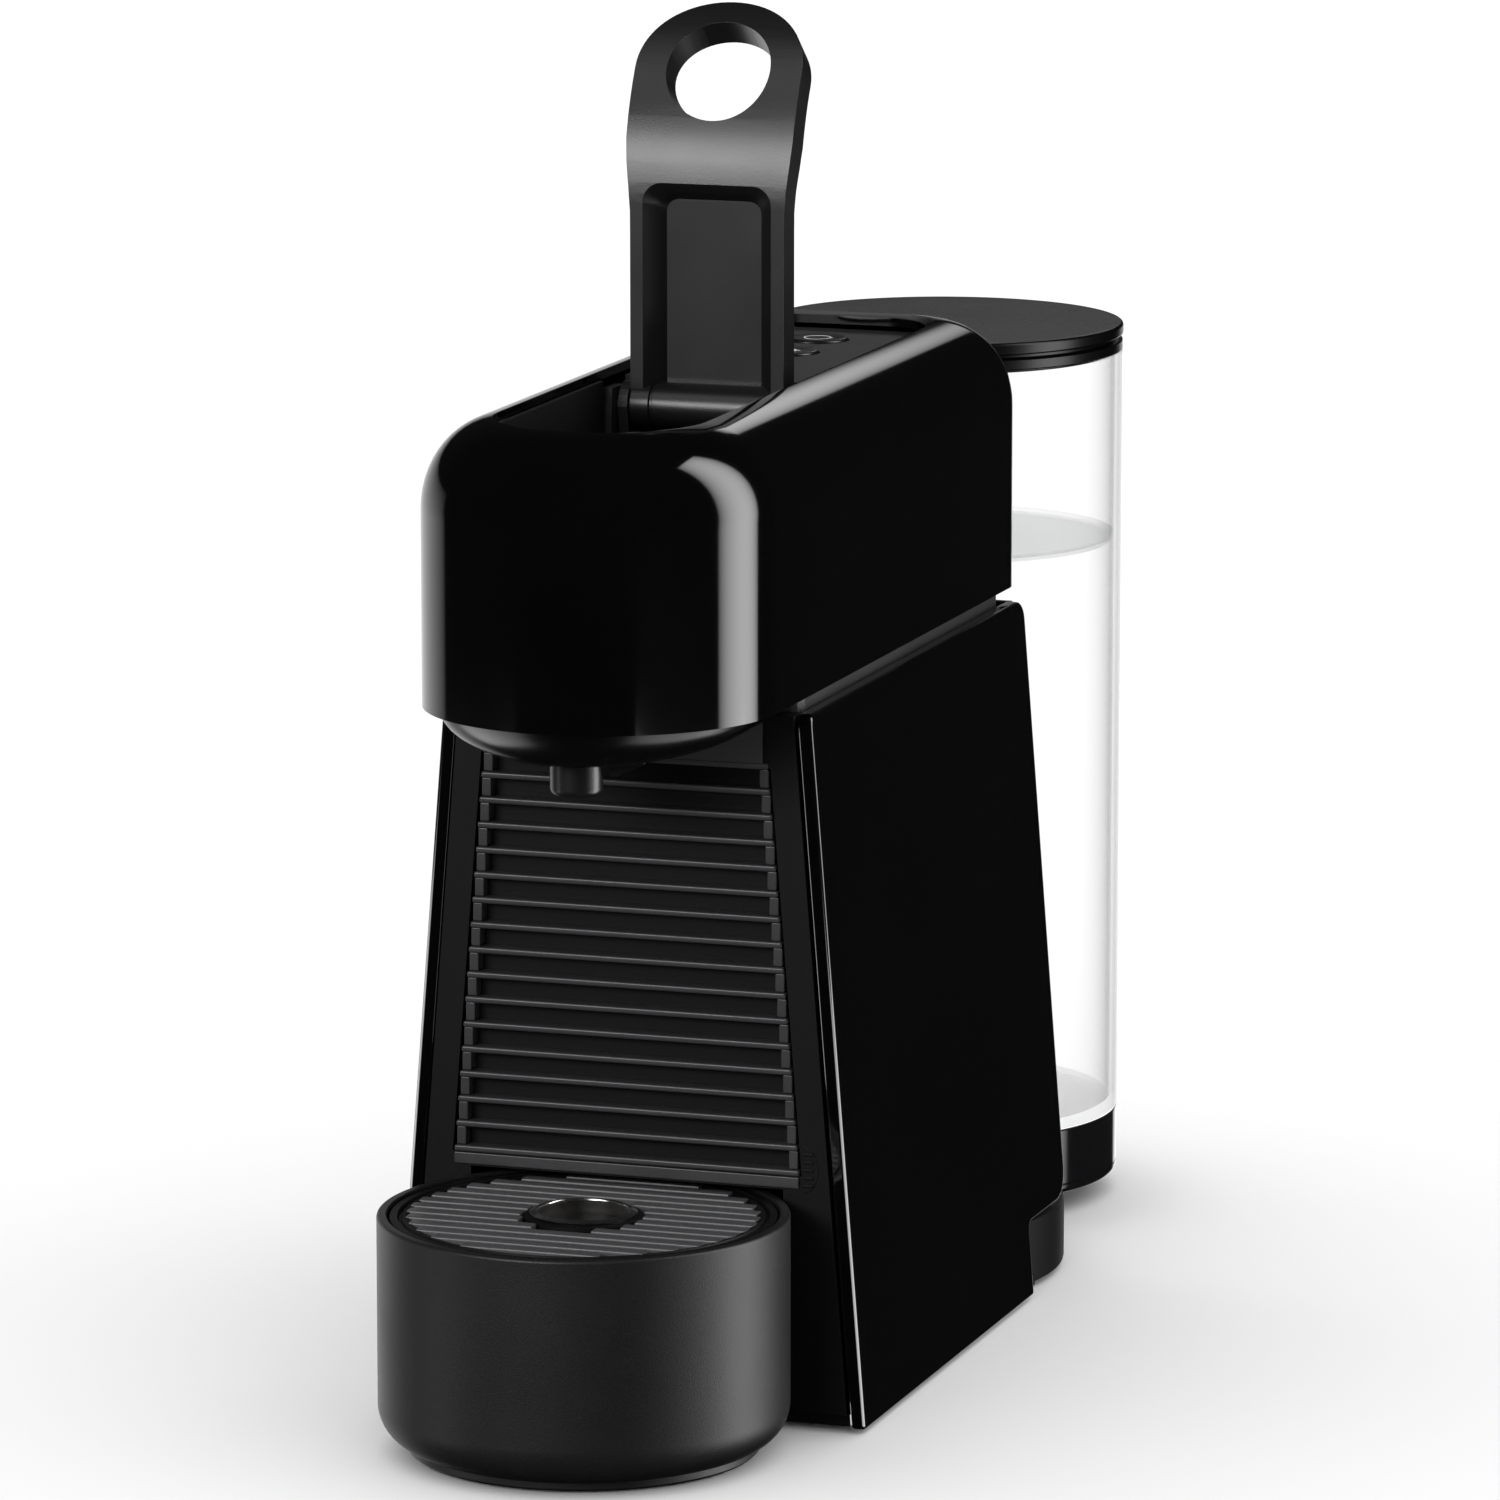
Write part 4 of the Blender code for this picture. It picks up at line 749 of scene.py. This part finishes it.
print_grey = Recipe("printed_grey", (0.62, 0.62, 0.63), roughness=0.4)
ink = print_grey.noise(1800.0)
print_grey.feed("Base Color", print_grey.blend(ink, (0.50, 0.50, 0.51), (0.72, 0.72, 0.73)))
print_grey.feed("Roughness", 0.30 + ink * 0.2)
for node, body, ring_radius in BUTTONS:
    centre, radius, bottom, top = button_place(node)
    section = [(0, bottom), (0.0030, bottom), (0.0030, top - 0.0037), (radius, top - 0.0037)]
    section += arc((radius - 0.0007, top - 0.0007), 0.0007, 0, 90, 5)
    section += [(radius * 0.55, top - 0.0001), (0, top - 0.0003)]
    cap = turn(node.replace("_cup", "_cap"), centre, section, 72)
    settle(cap, satin_black, body, "satin_black", node)
    mark_top = top - 0.0001
    mark_low = mark_top - 0.0003
    inner = ring_radius - 0.0003
    section = [(inner, mark_low), (ring_radius, mark_low), (ring_radius, mark_top), (inner, mark_top)]
    ring = turn("mark_ring", centre, section, 48, ring=True)
    handle = block("mark_handle", (ring_radius + 0.00005, ring_radius + 0.0011),
                   (centre[1] - 0.0002, centre[1] + 0.0002), (mark_low, mark_top))
    mark = join(node.replace("button_", "mark_"), [ring, handle])
    settle(mark, print_grey, body, "satin_black")

# ==================================================================== lever
# The lever is a satin black moulding with a drafted channel down its front. Its grip leans back and ends in
# a finger ring with rolled edges; the barrel at its foot turns on a steel pin.
pin_low, pin_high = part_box("lever_pin")
PIN_Y = (pin_low.y + pin_high.y) / 2
PIN_Z = (pin_low.z + pin_high.z) / 2
PIN_BORE = 0.0029
BARREL_RADIUS = 0.0062
LEVER_HALF = 0.0204
GRIP_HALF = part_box("lever")[1].x
CROWN_HEIGHT = GRIP_HALF * 0.92
LEVER_FRONT = PIN_Y - 0.0042
LEVER_THICK = 0.0086
BEND_Z = 0.3060
BEND_REACH = 0.0085                  # half the length over which the grip leans back
GRIP_LEAN = math.radians(48)
GRIP_RISE = 0.0472                   # from the bend to the end of the grip, along its curve
RING_RADIUS = 0.0137
RING_Z = BEND_Z + GRIP_RISE - CROWN_HEIGHT
CHANNEL_DEPTH = 0.0060
CHANNEL_HALF = 0.0170
CHANNEL_TOP = BEND_Z - 0.0030
CHANNEL_BOTTOM = PIN_Z + 0.0030
CHANNEL_DRAFT = 0.0044               # how far the channel narrows down to its floor
CHANNEL_CORNER = 0.0050


def smooth(t):
    """0 below 0, 1 above 1, and an even ramp with soft ends between."""
    t = min(max(t, 0.0), 1.0)
    return t * t * (3 - 2 * t)


def lever_outline():
    """The lever's front outline drawn straight up, as (x, z) pairs."""
    sides = []
    steps = 14
    for i in range(steps):
        z = PIN_Z + (RING_Z - PIN_Z) * i / steps
        sides.append((LEVER_HALF + (GRIP_HALF - LEVER_HALF) * smooth((z - BEND_Z + 0.012) / 0.022), z))
    crown = arc((0, RING_Z), (GRIP_HALF, CROWN_HEIGHT), 0, 180, 40)
    return sides + crown + [(-x, z) for x, z in reversed(sides)]


def lean(piece):
    """Bends a shape drawn straight up into the grip's even backward curve."""
    start = BEND_Z - BEND_REACH
    radius = (GRIP_RISE + BEND_REACH) / GRIP_LEAN
    for vert in piece.data.vertices:
        rise = vert.co.z - start
        if rise <= 0:
            continue
        angle = rise / radius
        depth = vert.co.y - LEVER_FRONT
        vert.co = (vert.co.x, LEVER_FRONT + radius * (1 - math.cos(angle)) + depth * math.cos(angle),
                   start + radius * math.sin(angle) - depth * math.sin(angle))


handle = slab("lever_handle", [(x, LEVER_FRONT, z) for x, z in lever_outline()], (0, LEVER_THICK, 0))
hole_section = [(0, -0.02), (RING_RADIUS, -0.02), (RING_RADIUS, 0.03), (0, 0.03)]
combine(handle, turn("tool_ring", (0, LEVER_FRONT, RING_Z), hole_section, 64, axis="Y"))

channel_loops = []
for share in (-0.25, 0.0, 0.35, 0.7, 0.9, 1.0):
    pull = CHANNEL_DRAFT * max(share, 0.0) ** 0.8
    y = LEVER_FRONT + CHANNEL_DEPTH * share
    edge = CHANNEL_HALF - pull
    head = CHANNEL_TOP - pull
    corner = CHANNEL_CORNER - 0.35 * pull
    outline = [(edge, CHANNEL_BOTTOM), *arc((edge - corner, head - corner), corner, 0, 90, 8)]
    outline += [*arc((corner - edge, head - corner), corner, 90, 180, 8), (-edge, CHANNEL_BOTTOM)]
    channel_loops.append([(x, y, z) for x, z in outline])
combine(handle, loft("tool_channel", channel_loops))

BEND_CUTS = 20                       # crossings cut into the grip so that it can curve
for number in range(BEND_CUTS):
    z = BEND_Z - BEND_REACH + (GRIP_RISE + BEND_REACH) * number / BEND_CUTS
    bpy.context.view_layer.objects.active = handle
    bpy.ops.object.mode_set(mode="EDIT")
    bpy.ops.mesh.select_all(action="SELECT")
    bpy.ops.mesh.bisect(plane_co=(0, 0, z), plane_no=(0, 0, 1))
    bpy.ops.object.mode_set(mode="OBJECT")
lean(handle)
soften(handle, 0.0016, 5, 38)
settle(handle, satin_black, "lever", "satin_black", "lever", angle=40)

left = -LEVER_HALF
groove = BARREL_RADIUS - 0.0006
barrel_section = [(PIN_BORE, left), (BARREL_RADIUS - 0.0005, left), (BARREL_RADIUS, left + 0.0005),
                  (BARREL_RADIUS, left + 0.0052), (groove, left + 0.0055), (groove, left + 0.0060),
                  (BARREL_RADIUS, left + 0.0063), (BARREL_RADIUS, LEVER_HALF - 0.0005),
                  (BARREL_RADIUS - 0.0005, LEVER_HALF), (PIN_BORE, LEVER_HALF)]
barrel = turn("lever_barrel", (0, PIN_Y, PIN_Z), barrel_section, 64, ring=True, axis="X")
settle(barrel, satin_black, "lever", "satin_black")

# ==================================================================== drip drum
# The drum is a deep round drawer front in black plastic with a fine even grain. Its lower edge is rounded,
# it stands on a smaller foot, and a step inside its rim takes the grid.
drum_low, drum_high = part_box("drip_drum")
DRUM_RADIUS = drum_high.x
DRUM_TOP = drum_high.z
DRUM_Y = (drum_low.y + drum_high.y) / 2
FOOT_RADIUS = 0.0438
DRUM_EDGE = 0.0100
DRUM_BOTTOM = 0.0024
RIM_INNER = DRUM_RADIUS - 0.0026
STEP_Z = DRUM_TOP - 0.0042           # the step that the grid lies on
WALL_INNER = DRUM_RADIUS - 0.0048
DRUM_FLOOR = 0.0080
FLOOR_CORNER = 0.0060                # how far the inner corner rises above the floor

drum_black = black_plastic("grained_black", (0.0014, 0.0014, 0.0015), (0.0090, 0.0090, 0.0094),
                           0.42, 2900.0, 0.00005, 0.4)

section = [(0, drum_low.z), (FOOT_RADIUS - 0.0006, drum_low.z), (FOOT_RADIUS, drum_low.z + 0.0006),
           (FOOT_RADIUS, DRUM_BOTTOM + 0.0004)]
section += arc((DRUM_RADIUS - DRUM_EDGE, DRUM_BOTTOM + DRUM_EDGE), DRUM_EDGE, -68, 0, 12)
section += arc((DRUM_RADIUS - 0.0008, DRUM_TOP - 0.0008), 0.0008, 0, 90, 5)
section += [(RIM_INNER + 0.0003, DRUM_TOP), (RIM_INNER, DRUM_TOP - 0.0003), (RIM_INNER, STEP_Z),
            (WALL_INNER, STEP_Z), (WALL_INNER, DRUM_FLOOR + FLOOR_CORNER),
            (DRUM_RADIUS - 0.0100, DRUM_FLOOR), (0, DRUM_FLOOR)]
drum = turn("drum_shell", (0, DRUM_Y, 0), section, 128)
settle(drum, drum_black, "drawer", "drum_black", "drip_drum")

# ==================================================================== drip grid and its steel well
# The grid is a round plate of straight slats in a ring, stepped at their ends, with a brushed steel sleeve
# pressed into the hole at its middle.
grid_low, grid_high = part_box("drip_grid")
GRID_RADIUS = grid_high.x
WELL_RADIUS = 0.0124
SLAT_PITCH = 0.0059
SLAT_WIDTH = 0.0041
well_low, well_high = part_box("well_ring")

SLAT_PAIRS = 7
COLLAR_WALL = 0.0023
GRID_TOP = grid_high.z

slat_grey = black_plastic("slat_grey", (0.034, 0.034, 0.036), (0.048, 0.048, 0.051), 0.36, 2400.0, 0.00003)
ring_inner = GRID_RADIUS - 0.0050
rim_section = [(ring_inner, grid_low.z), (GRID_RADIUS - 0.0002, grid_low.z)]
rim_section += arc((GRID_RADIUS - 0.0007, GRID_TOP - 0.0007), 0.0005, 0, 90, 4)
rim_section += [(GRID_RADIUS - 0.0022, GRID_TOP - 0.0002), (GRID_RADIUS - 0.0026, GRID_TOP - 0.0010),
                (GRID_RADIUS - 0.0032, GRID_TOP - 0.0010), (GRID_RADIUS - 0.0036, GRID_TOP - 0.0002),
                (ring_inner, GRID_TOP - 0.0004)]
grid_ring = turn("grid_ring", (0, DRUM_Y, 0), rim_section, 128, ring=True)
settle(grid_ring, matte_black, "drawer", "drum_black", "drip_grid")

slats = []
for number in range(-SLAT_PAIRS, SLAT_PAIRS):
    middle = (number + 0.5) * SLAT_PITCH
    outer_edge = abs(middle) + SLAT_WIDTH / 2
    reach = math.sqrt((ring_inner + 0.0010) ** 2 - outer_edge ** 2)
    spans = [(-reach, reach)]
    inner_edge = abs(middle) - SLAT_WIDTH / 2
    if inner_edge < WELL_RADIUS + 0.0022:
        start = math.sqrt((WELL_RADIUS + 0.0024) ** 2 - inner_edge ** 2)
        spans = [(start, reach), (-reach, -start)]
    for span in spans:
        slat = block("slat", span, (DRUM_Y + middle - SLAT_WIDTH / 2, DRUM_Y + middle + SLAT_WIDTH / 2),
                     (grid_low.z + 0.0002, GRID_TOP - 0.0001))
        soften(slat, 0.0005, 2)
        slats.append(slat)
settle(join("grid_slats", slats), slat_grey, "drawer", "drum_black")

collar_inner = WELL_RADIUS + 0.0002
collar_outer = WELL_RADIUS + COLLAR_WALL
collar_section = [(collar_inner, grid_low.z), (collar_outer, grid_low.z), (collar_outer, GRID_TOP - 0.0003),
                  (WELL_RADIUS + 0.0018, GRID_TOP), (WELL_RADIUS + 0.0012, GRID_TOP),
                  (collar_inner, GRID_TOP)]
collar = turn("grid_collar", (0, DRUM_Y, 0), collar_section, 96, ring=True)
settle(collar, matte_black, "drawer", "drum_black")

bright_steel = Recipe("turned_steel", (0.70, 0.70, 0.69), roughness=0.18, metallic=1.0)
rings = bright_steel.noise(500.0, 2.0, (0.03, 0.03, 1))
tint = bright_steel.noise(90.0)
bright_steel.feed("Base Color", bright_steel.blend(tint, (0.58, 0.57, 0.56), (0.74, 0.73, 0.72)))
bright_steel.feed("Roughness", 0.10 + rings * 0.18)
bright_steel.emboss(rings, 0.00001)
inner = WELL_RADIUS - 0.0010
outer = WELL_RADIUS - 0.0001
flange_z = GRID_TOP + 0.0002
well_section = [(inner, well_low.z), (outer, well_low.z), (outer, flange_z),
                (WELL_RADIUS + 0.0008, flange_z), (WELL_RADIUS + 0.0010, GRID_TOP + 0.0005)]
well_section += arc((inner + 0.0006, well_high.z - 0.0006), 0.0006, 90, 180, 5)
sleeve = turn("well_sleeve", (0, DRUM_Y, 0), well_section, 96, ring=True)
settle(sleeve, bright_steel, "drawer", "steel", "well_ring")

# The sled and the bin for spent capsules are plain matte mouldings behind the drum.
dress(matte_black, "drawer_sled", "capsule_bin")

# ==================================================================== tank foot
# The tank stands on a low arm that swings under the body's rear. Its drum-shaped end fills the panels'
# notches, and a thin tongue carries the docking plug.
dress(matte_black, "tank_arm")
arm_low, arm_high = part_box("tank_arm")
ARM_RADIUS = arm_high.x + 0.0001
ARM_Y = arm_low.y + arm_high.x
SKIRT_TOP = 0.0191
skirt_inner = ARM_RADIUS - 0.0020
section = [(skirt_inner, 0.0020), (ARM_RADIUS - 0.0008, 0.0016), (ARM_RADIUS - 0.0002, 0.0020),
           (ARM_RADIUS, 0.0028), (ARM_RADIUS, SKIRT_TOP - 0.0015), (ARM_RADIUS - 0.0004, SKIRT_TOP - 0.0005),
           (ARM_RADIUS - 0.0012, SKIRT_TOP), (skirt_inner, SKIRT_TOP)]
arm_skirt = turn("arm_skirt", (0, ARM_Y, 0), section, 144, ring=True)
settle(arm_skirt, matte_black, "arm", "matte_black")
dress(inner_black, "tank_valve")

# ==================================================================== tank base
# The foot of the tank is a smoky polished cup that the clear tank is welded to, with a rolled lower rim.
base_low, base_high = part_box("tank_base")
TANK_Y = (base_low.y + base_high.y) / 2
BASE_RADIUS = base_high.x
smoky = Recipe("smoky_plastic", (0.004, 0.004, 0.005), roughness=0.08)
cloudy = smoky.noise(30.0, 4.0)
smoky.feed("Base Color", smoky.blend(cloudy, (0.003, 0.003, 0.0034), (0.007, 0.007, 0.0078)))
smoky.feed("Roughness", 0.05 + cloudy * 0.08)
smoky.emboss(smoky.noise(380.0, 1.0), 0.000002)
BASE_BORE = 0.0060
BASE_UNDERSIDE = 0.0176
base_wall = BASE_RADIUS - 0.0030
base_section = [(BASE_BORE, BASE_UNDERSIDE), (base_wall, BASE_UNDERSIDE), (base_wall, base_low.z + 0.0004),
                (BASE_RADIUS - 0.0026, base_low.z)]
base_section += arc((BASE_RADIUS - 0.0014, base_low.z + 0.0014), 0.0014, 270, 360, 6)
base_section += [(BASE_RADIUS, base_low.z + 0.0022), (BASE_RADIUS - 0.0003, base_low.z + 0.0025),
                 (BASE_RADIUS, base_low.z + 0.0028), (BASE_RADIUS, base_high.z - 0.0004),
                 (BASE_RADIUS - 0.0004, base_high.z), (BASE_BORE, base_high.z)]
tank_foot = turn("tank_foot_ring", (0, TANK_Y, 0), base_section, 128, ring=True)
settle(tank_foot, smoky, "tank", "smoky_plastic", "tank_base")

# ==================================================================== tank and water
# The tank is a round tube in clear styrene, filled to about four fifths. Its wall is nearly invisible face
# on and turns grey towards its edges; the water shows as a pale disc with a darker rim.
tank_low, tank_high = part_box("tank_body")
TANK_RADIUS = tank_high.x
TANK_WALL = 0.0020
TANK_INNER = TANK_RADIUS - TANK_WALL
TANK_BORE = 0.0064
TANK_FLOOR = tank_low.z + 0.0024
WATER_TOP = 0.184


def clear_finish(name, colour, face_on, edge_on, sharpness):
    """A clear plastic or liquid: see-through face on, and greyer where it is seen along its surface."""
    recipe = Recipe(name, colour, roughness=0.04, ior=1.35)
    facing = recipe.add("ShaderNodeLayerWeight", {}, {"Blend": 0.5}, "Facing")
    mist = recipe.noise(35.0, 3.0)
    recipe.feed("Alpha", (facing ** sharpness) * (edge_on - face_on) + face_on + mist * 0.004)
    recipe.feed("Roughness", 0.02 + mist * 0.05)
    return recipe


clear = clear_finish("clear_styrene", (0.05, 0.052, 0.054), 0.000, 0.62, 4.2)
section = [(TANK_BORE, tank_low.z), (TANK_RADIUS - 0.0004, tank_low.z), (TANK_RADIUS, tank_low.z + 0.0004),
           (TANK_RADIUS, tank_high.z - 0.0003), (TANK_RADIUS - 0.0003, tank_high.z),
           (TANK_INNER + 0.0003, tank_high.z), (TANK_INNER, tank_high.z - 0.0003),
           (TANK_INNER, TANK_FLOOR + 0.0004), (TANK_INNER - 0.0006, TANK_FLOOR), (TANK_BORE, TANK_FLOOR)]
tube = turn("tank_tube", (0, TANK_Y, 0), section, 128, ring=True)
settle(tube, clear, "tank", "clear_plastic", "tank_body")

water = clear_finish("water", (0.62, 0.63, 0.64), 0.10, 0.60, 4.0)
water_radius = TANK_INNER - 0.0002
section = [(0, WATER_TOP - 0.0006), (water_radius - 0.0012, WATER_TOP - 0.0006)]
section += arc((water_radius - 0.0012, WATER_TOP + 0.0004), 0.0010, 270, 350, 6)
section += [(water_radius, WATER_TOP + 0.0006), (water_radius, WATER_TOP - 0.0006),
            (water_radius - 0.0006, WATER_TOP - 0.0014), (0, WATER_TOP - 0.0014)]
settle(turn("water_surface", (0, TANK_Y, 0), section, 128), water, "tank", "clear_plastic")

# The tank's thick floor looks white, because its polished top throws back the light that comes from above. A
# thin white pad stands for it: its white is a painted reflection, and its faint glow is painted light.
painted_floor_reflection = Recipe("tank_floor_painted_reflection", (0.9, 0.9, 0.9), roughness=0.3, emission_strength=0.35)
painted_floor_reflection.shader.inputs["Emission Color"].default_value = (1, 1, 1, 1)
reflection_cloud = painted_floor_reflection.noise(30.0)
painted_floor_reflection.feed("Base Color", painted_floor_reflection.blend(reflection_cloud, (0.86, 0.86, 0.86), (0.95, 0.95, 0.95)))
PAD_GAP = 0.00004                    # clearance above and below the pad
pad_low, pad_high = base_high.z + PAD_GAP, tank_low.z - PAD_GAP
section = [(0, pad_low), (TANK_RADIUS - 0.0004, pad_low), (TANK_RADIUS - 0.0003, base_high.z + 0.00012),
           (TANK_RADIUS - 0.0004, pad_high), (0, pad_high)]
settle(turn("tank_floor", (0, TANK_Y, 0), section, 96), painted_floor_reflection, "tank", "clear_plastic")

# ==================================================================== tank lid
# The lid is a satin black disc with a thin polished lip, a groove round its edge, and a stepped skirt that
# drops inside the tank.
lid_low, lid_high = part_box("tank_lid")
LID_RADIUS = lid_high.x
tank_top = tank_high.z + 0.0003
skirt = TANK_RADIUS - TANK_WALL - 0.0008
SKIRT_LOW = lid_low.z + 0.0037
SKIRT_INNER = skirt - 0.0018
GROOVE_LOW = 0.2385                  # the groove between the lip and the disc, which is also the underside
GROOVE_HIGH = 0.2391
groove = TANK_RADIUS - 0.0014
section = [(0, GROOVE_LOW), (SKIRT_INNER, GROOVE_LOW), (SKIRT_INNER, SKIRT_LOW + 0.0003),
           (skirt - 0.0015, SKIRT_LOW), (skirt - 0.0003, SKIRT_LOW), (skirt, SKIRT_LOW + 0.0003),
           (skirt, tank_top), (TANK_RADIUS - 0.0003, tank_top), (TANK_RADIUS, tank_top + 0.0003),
           (TANK_RADIUS, 0.2378), (TANK_RADIUS - 0.0003, 0.2381), (groove, GROOVE_LOW), (groove, GROOVE_HIGH),
           (LID_RADIUS - 0.0004, 0.2394)]
section += arc((LID_RADIUS - 0.0006, 0.2400), 0.0006, -60, 0, 3)
section += arc((LID_RADIUS - 0.0010, lid_high.z - 0.0010), 0.0010, 0, 90, 6)
section += [(LID_RADIUS - 0.0030, lid_high.z - 0.0001), (0, lid_high.z - 0.0003)]
lid_black = black_plastic("lid_satin", (0.0012, 0.0012, 0.0013), (0.0022, 0.0022, 0.0024),
                          0.24, 3000.0, 0.00001, 0.22)
settle(turn("lid_disc", (0, TANK_Y, 0), section, 128), lid_black, "lid", "satin_black", "tank_lid", lit=False)
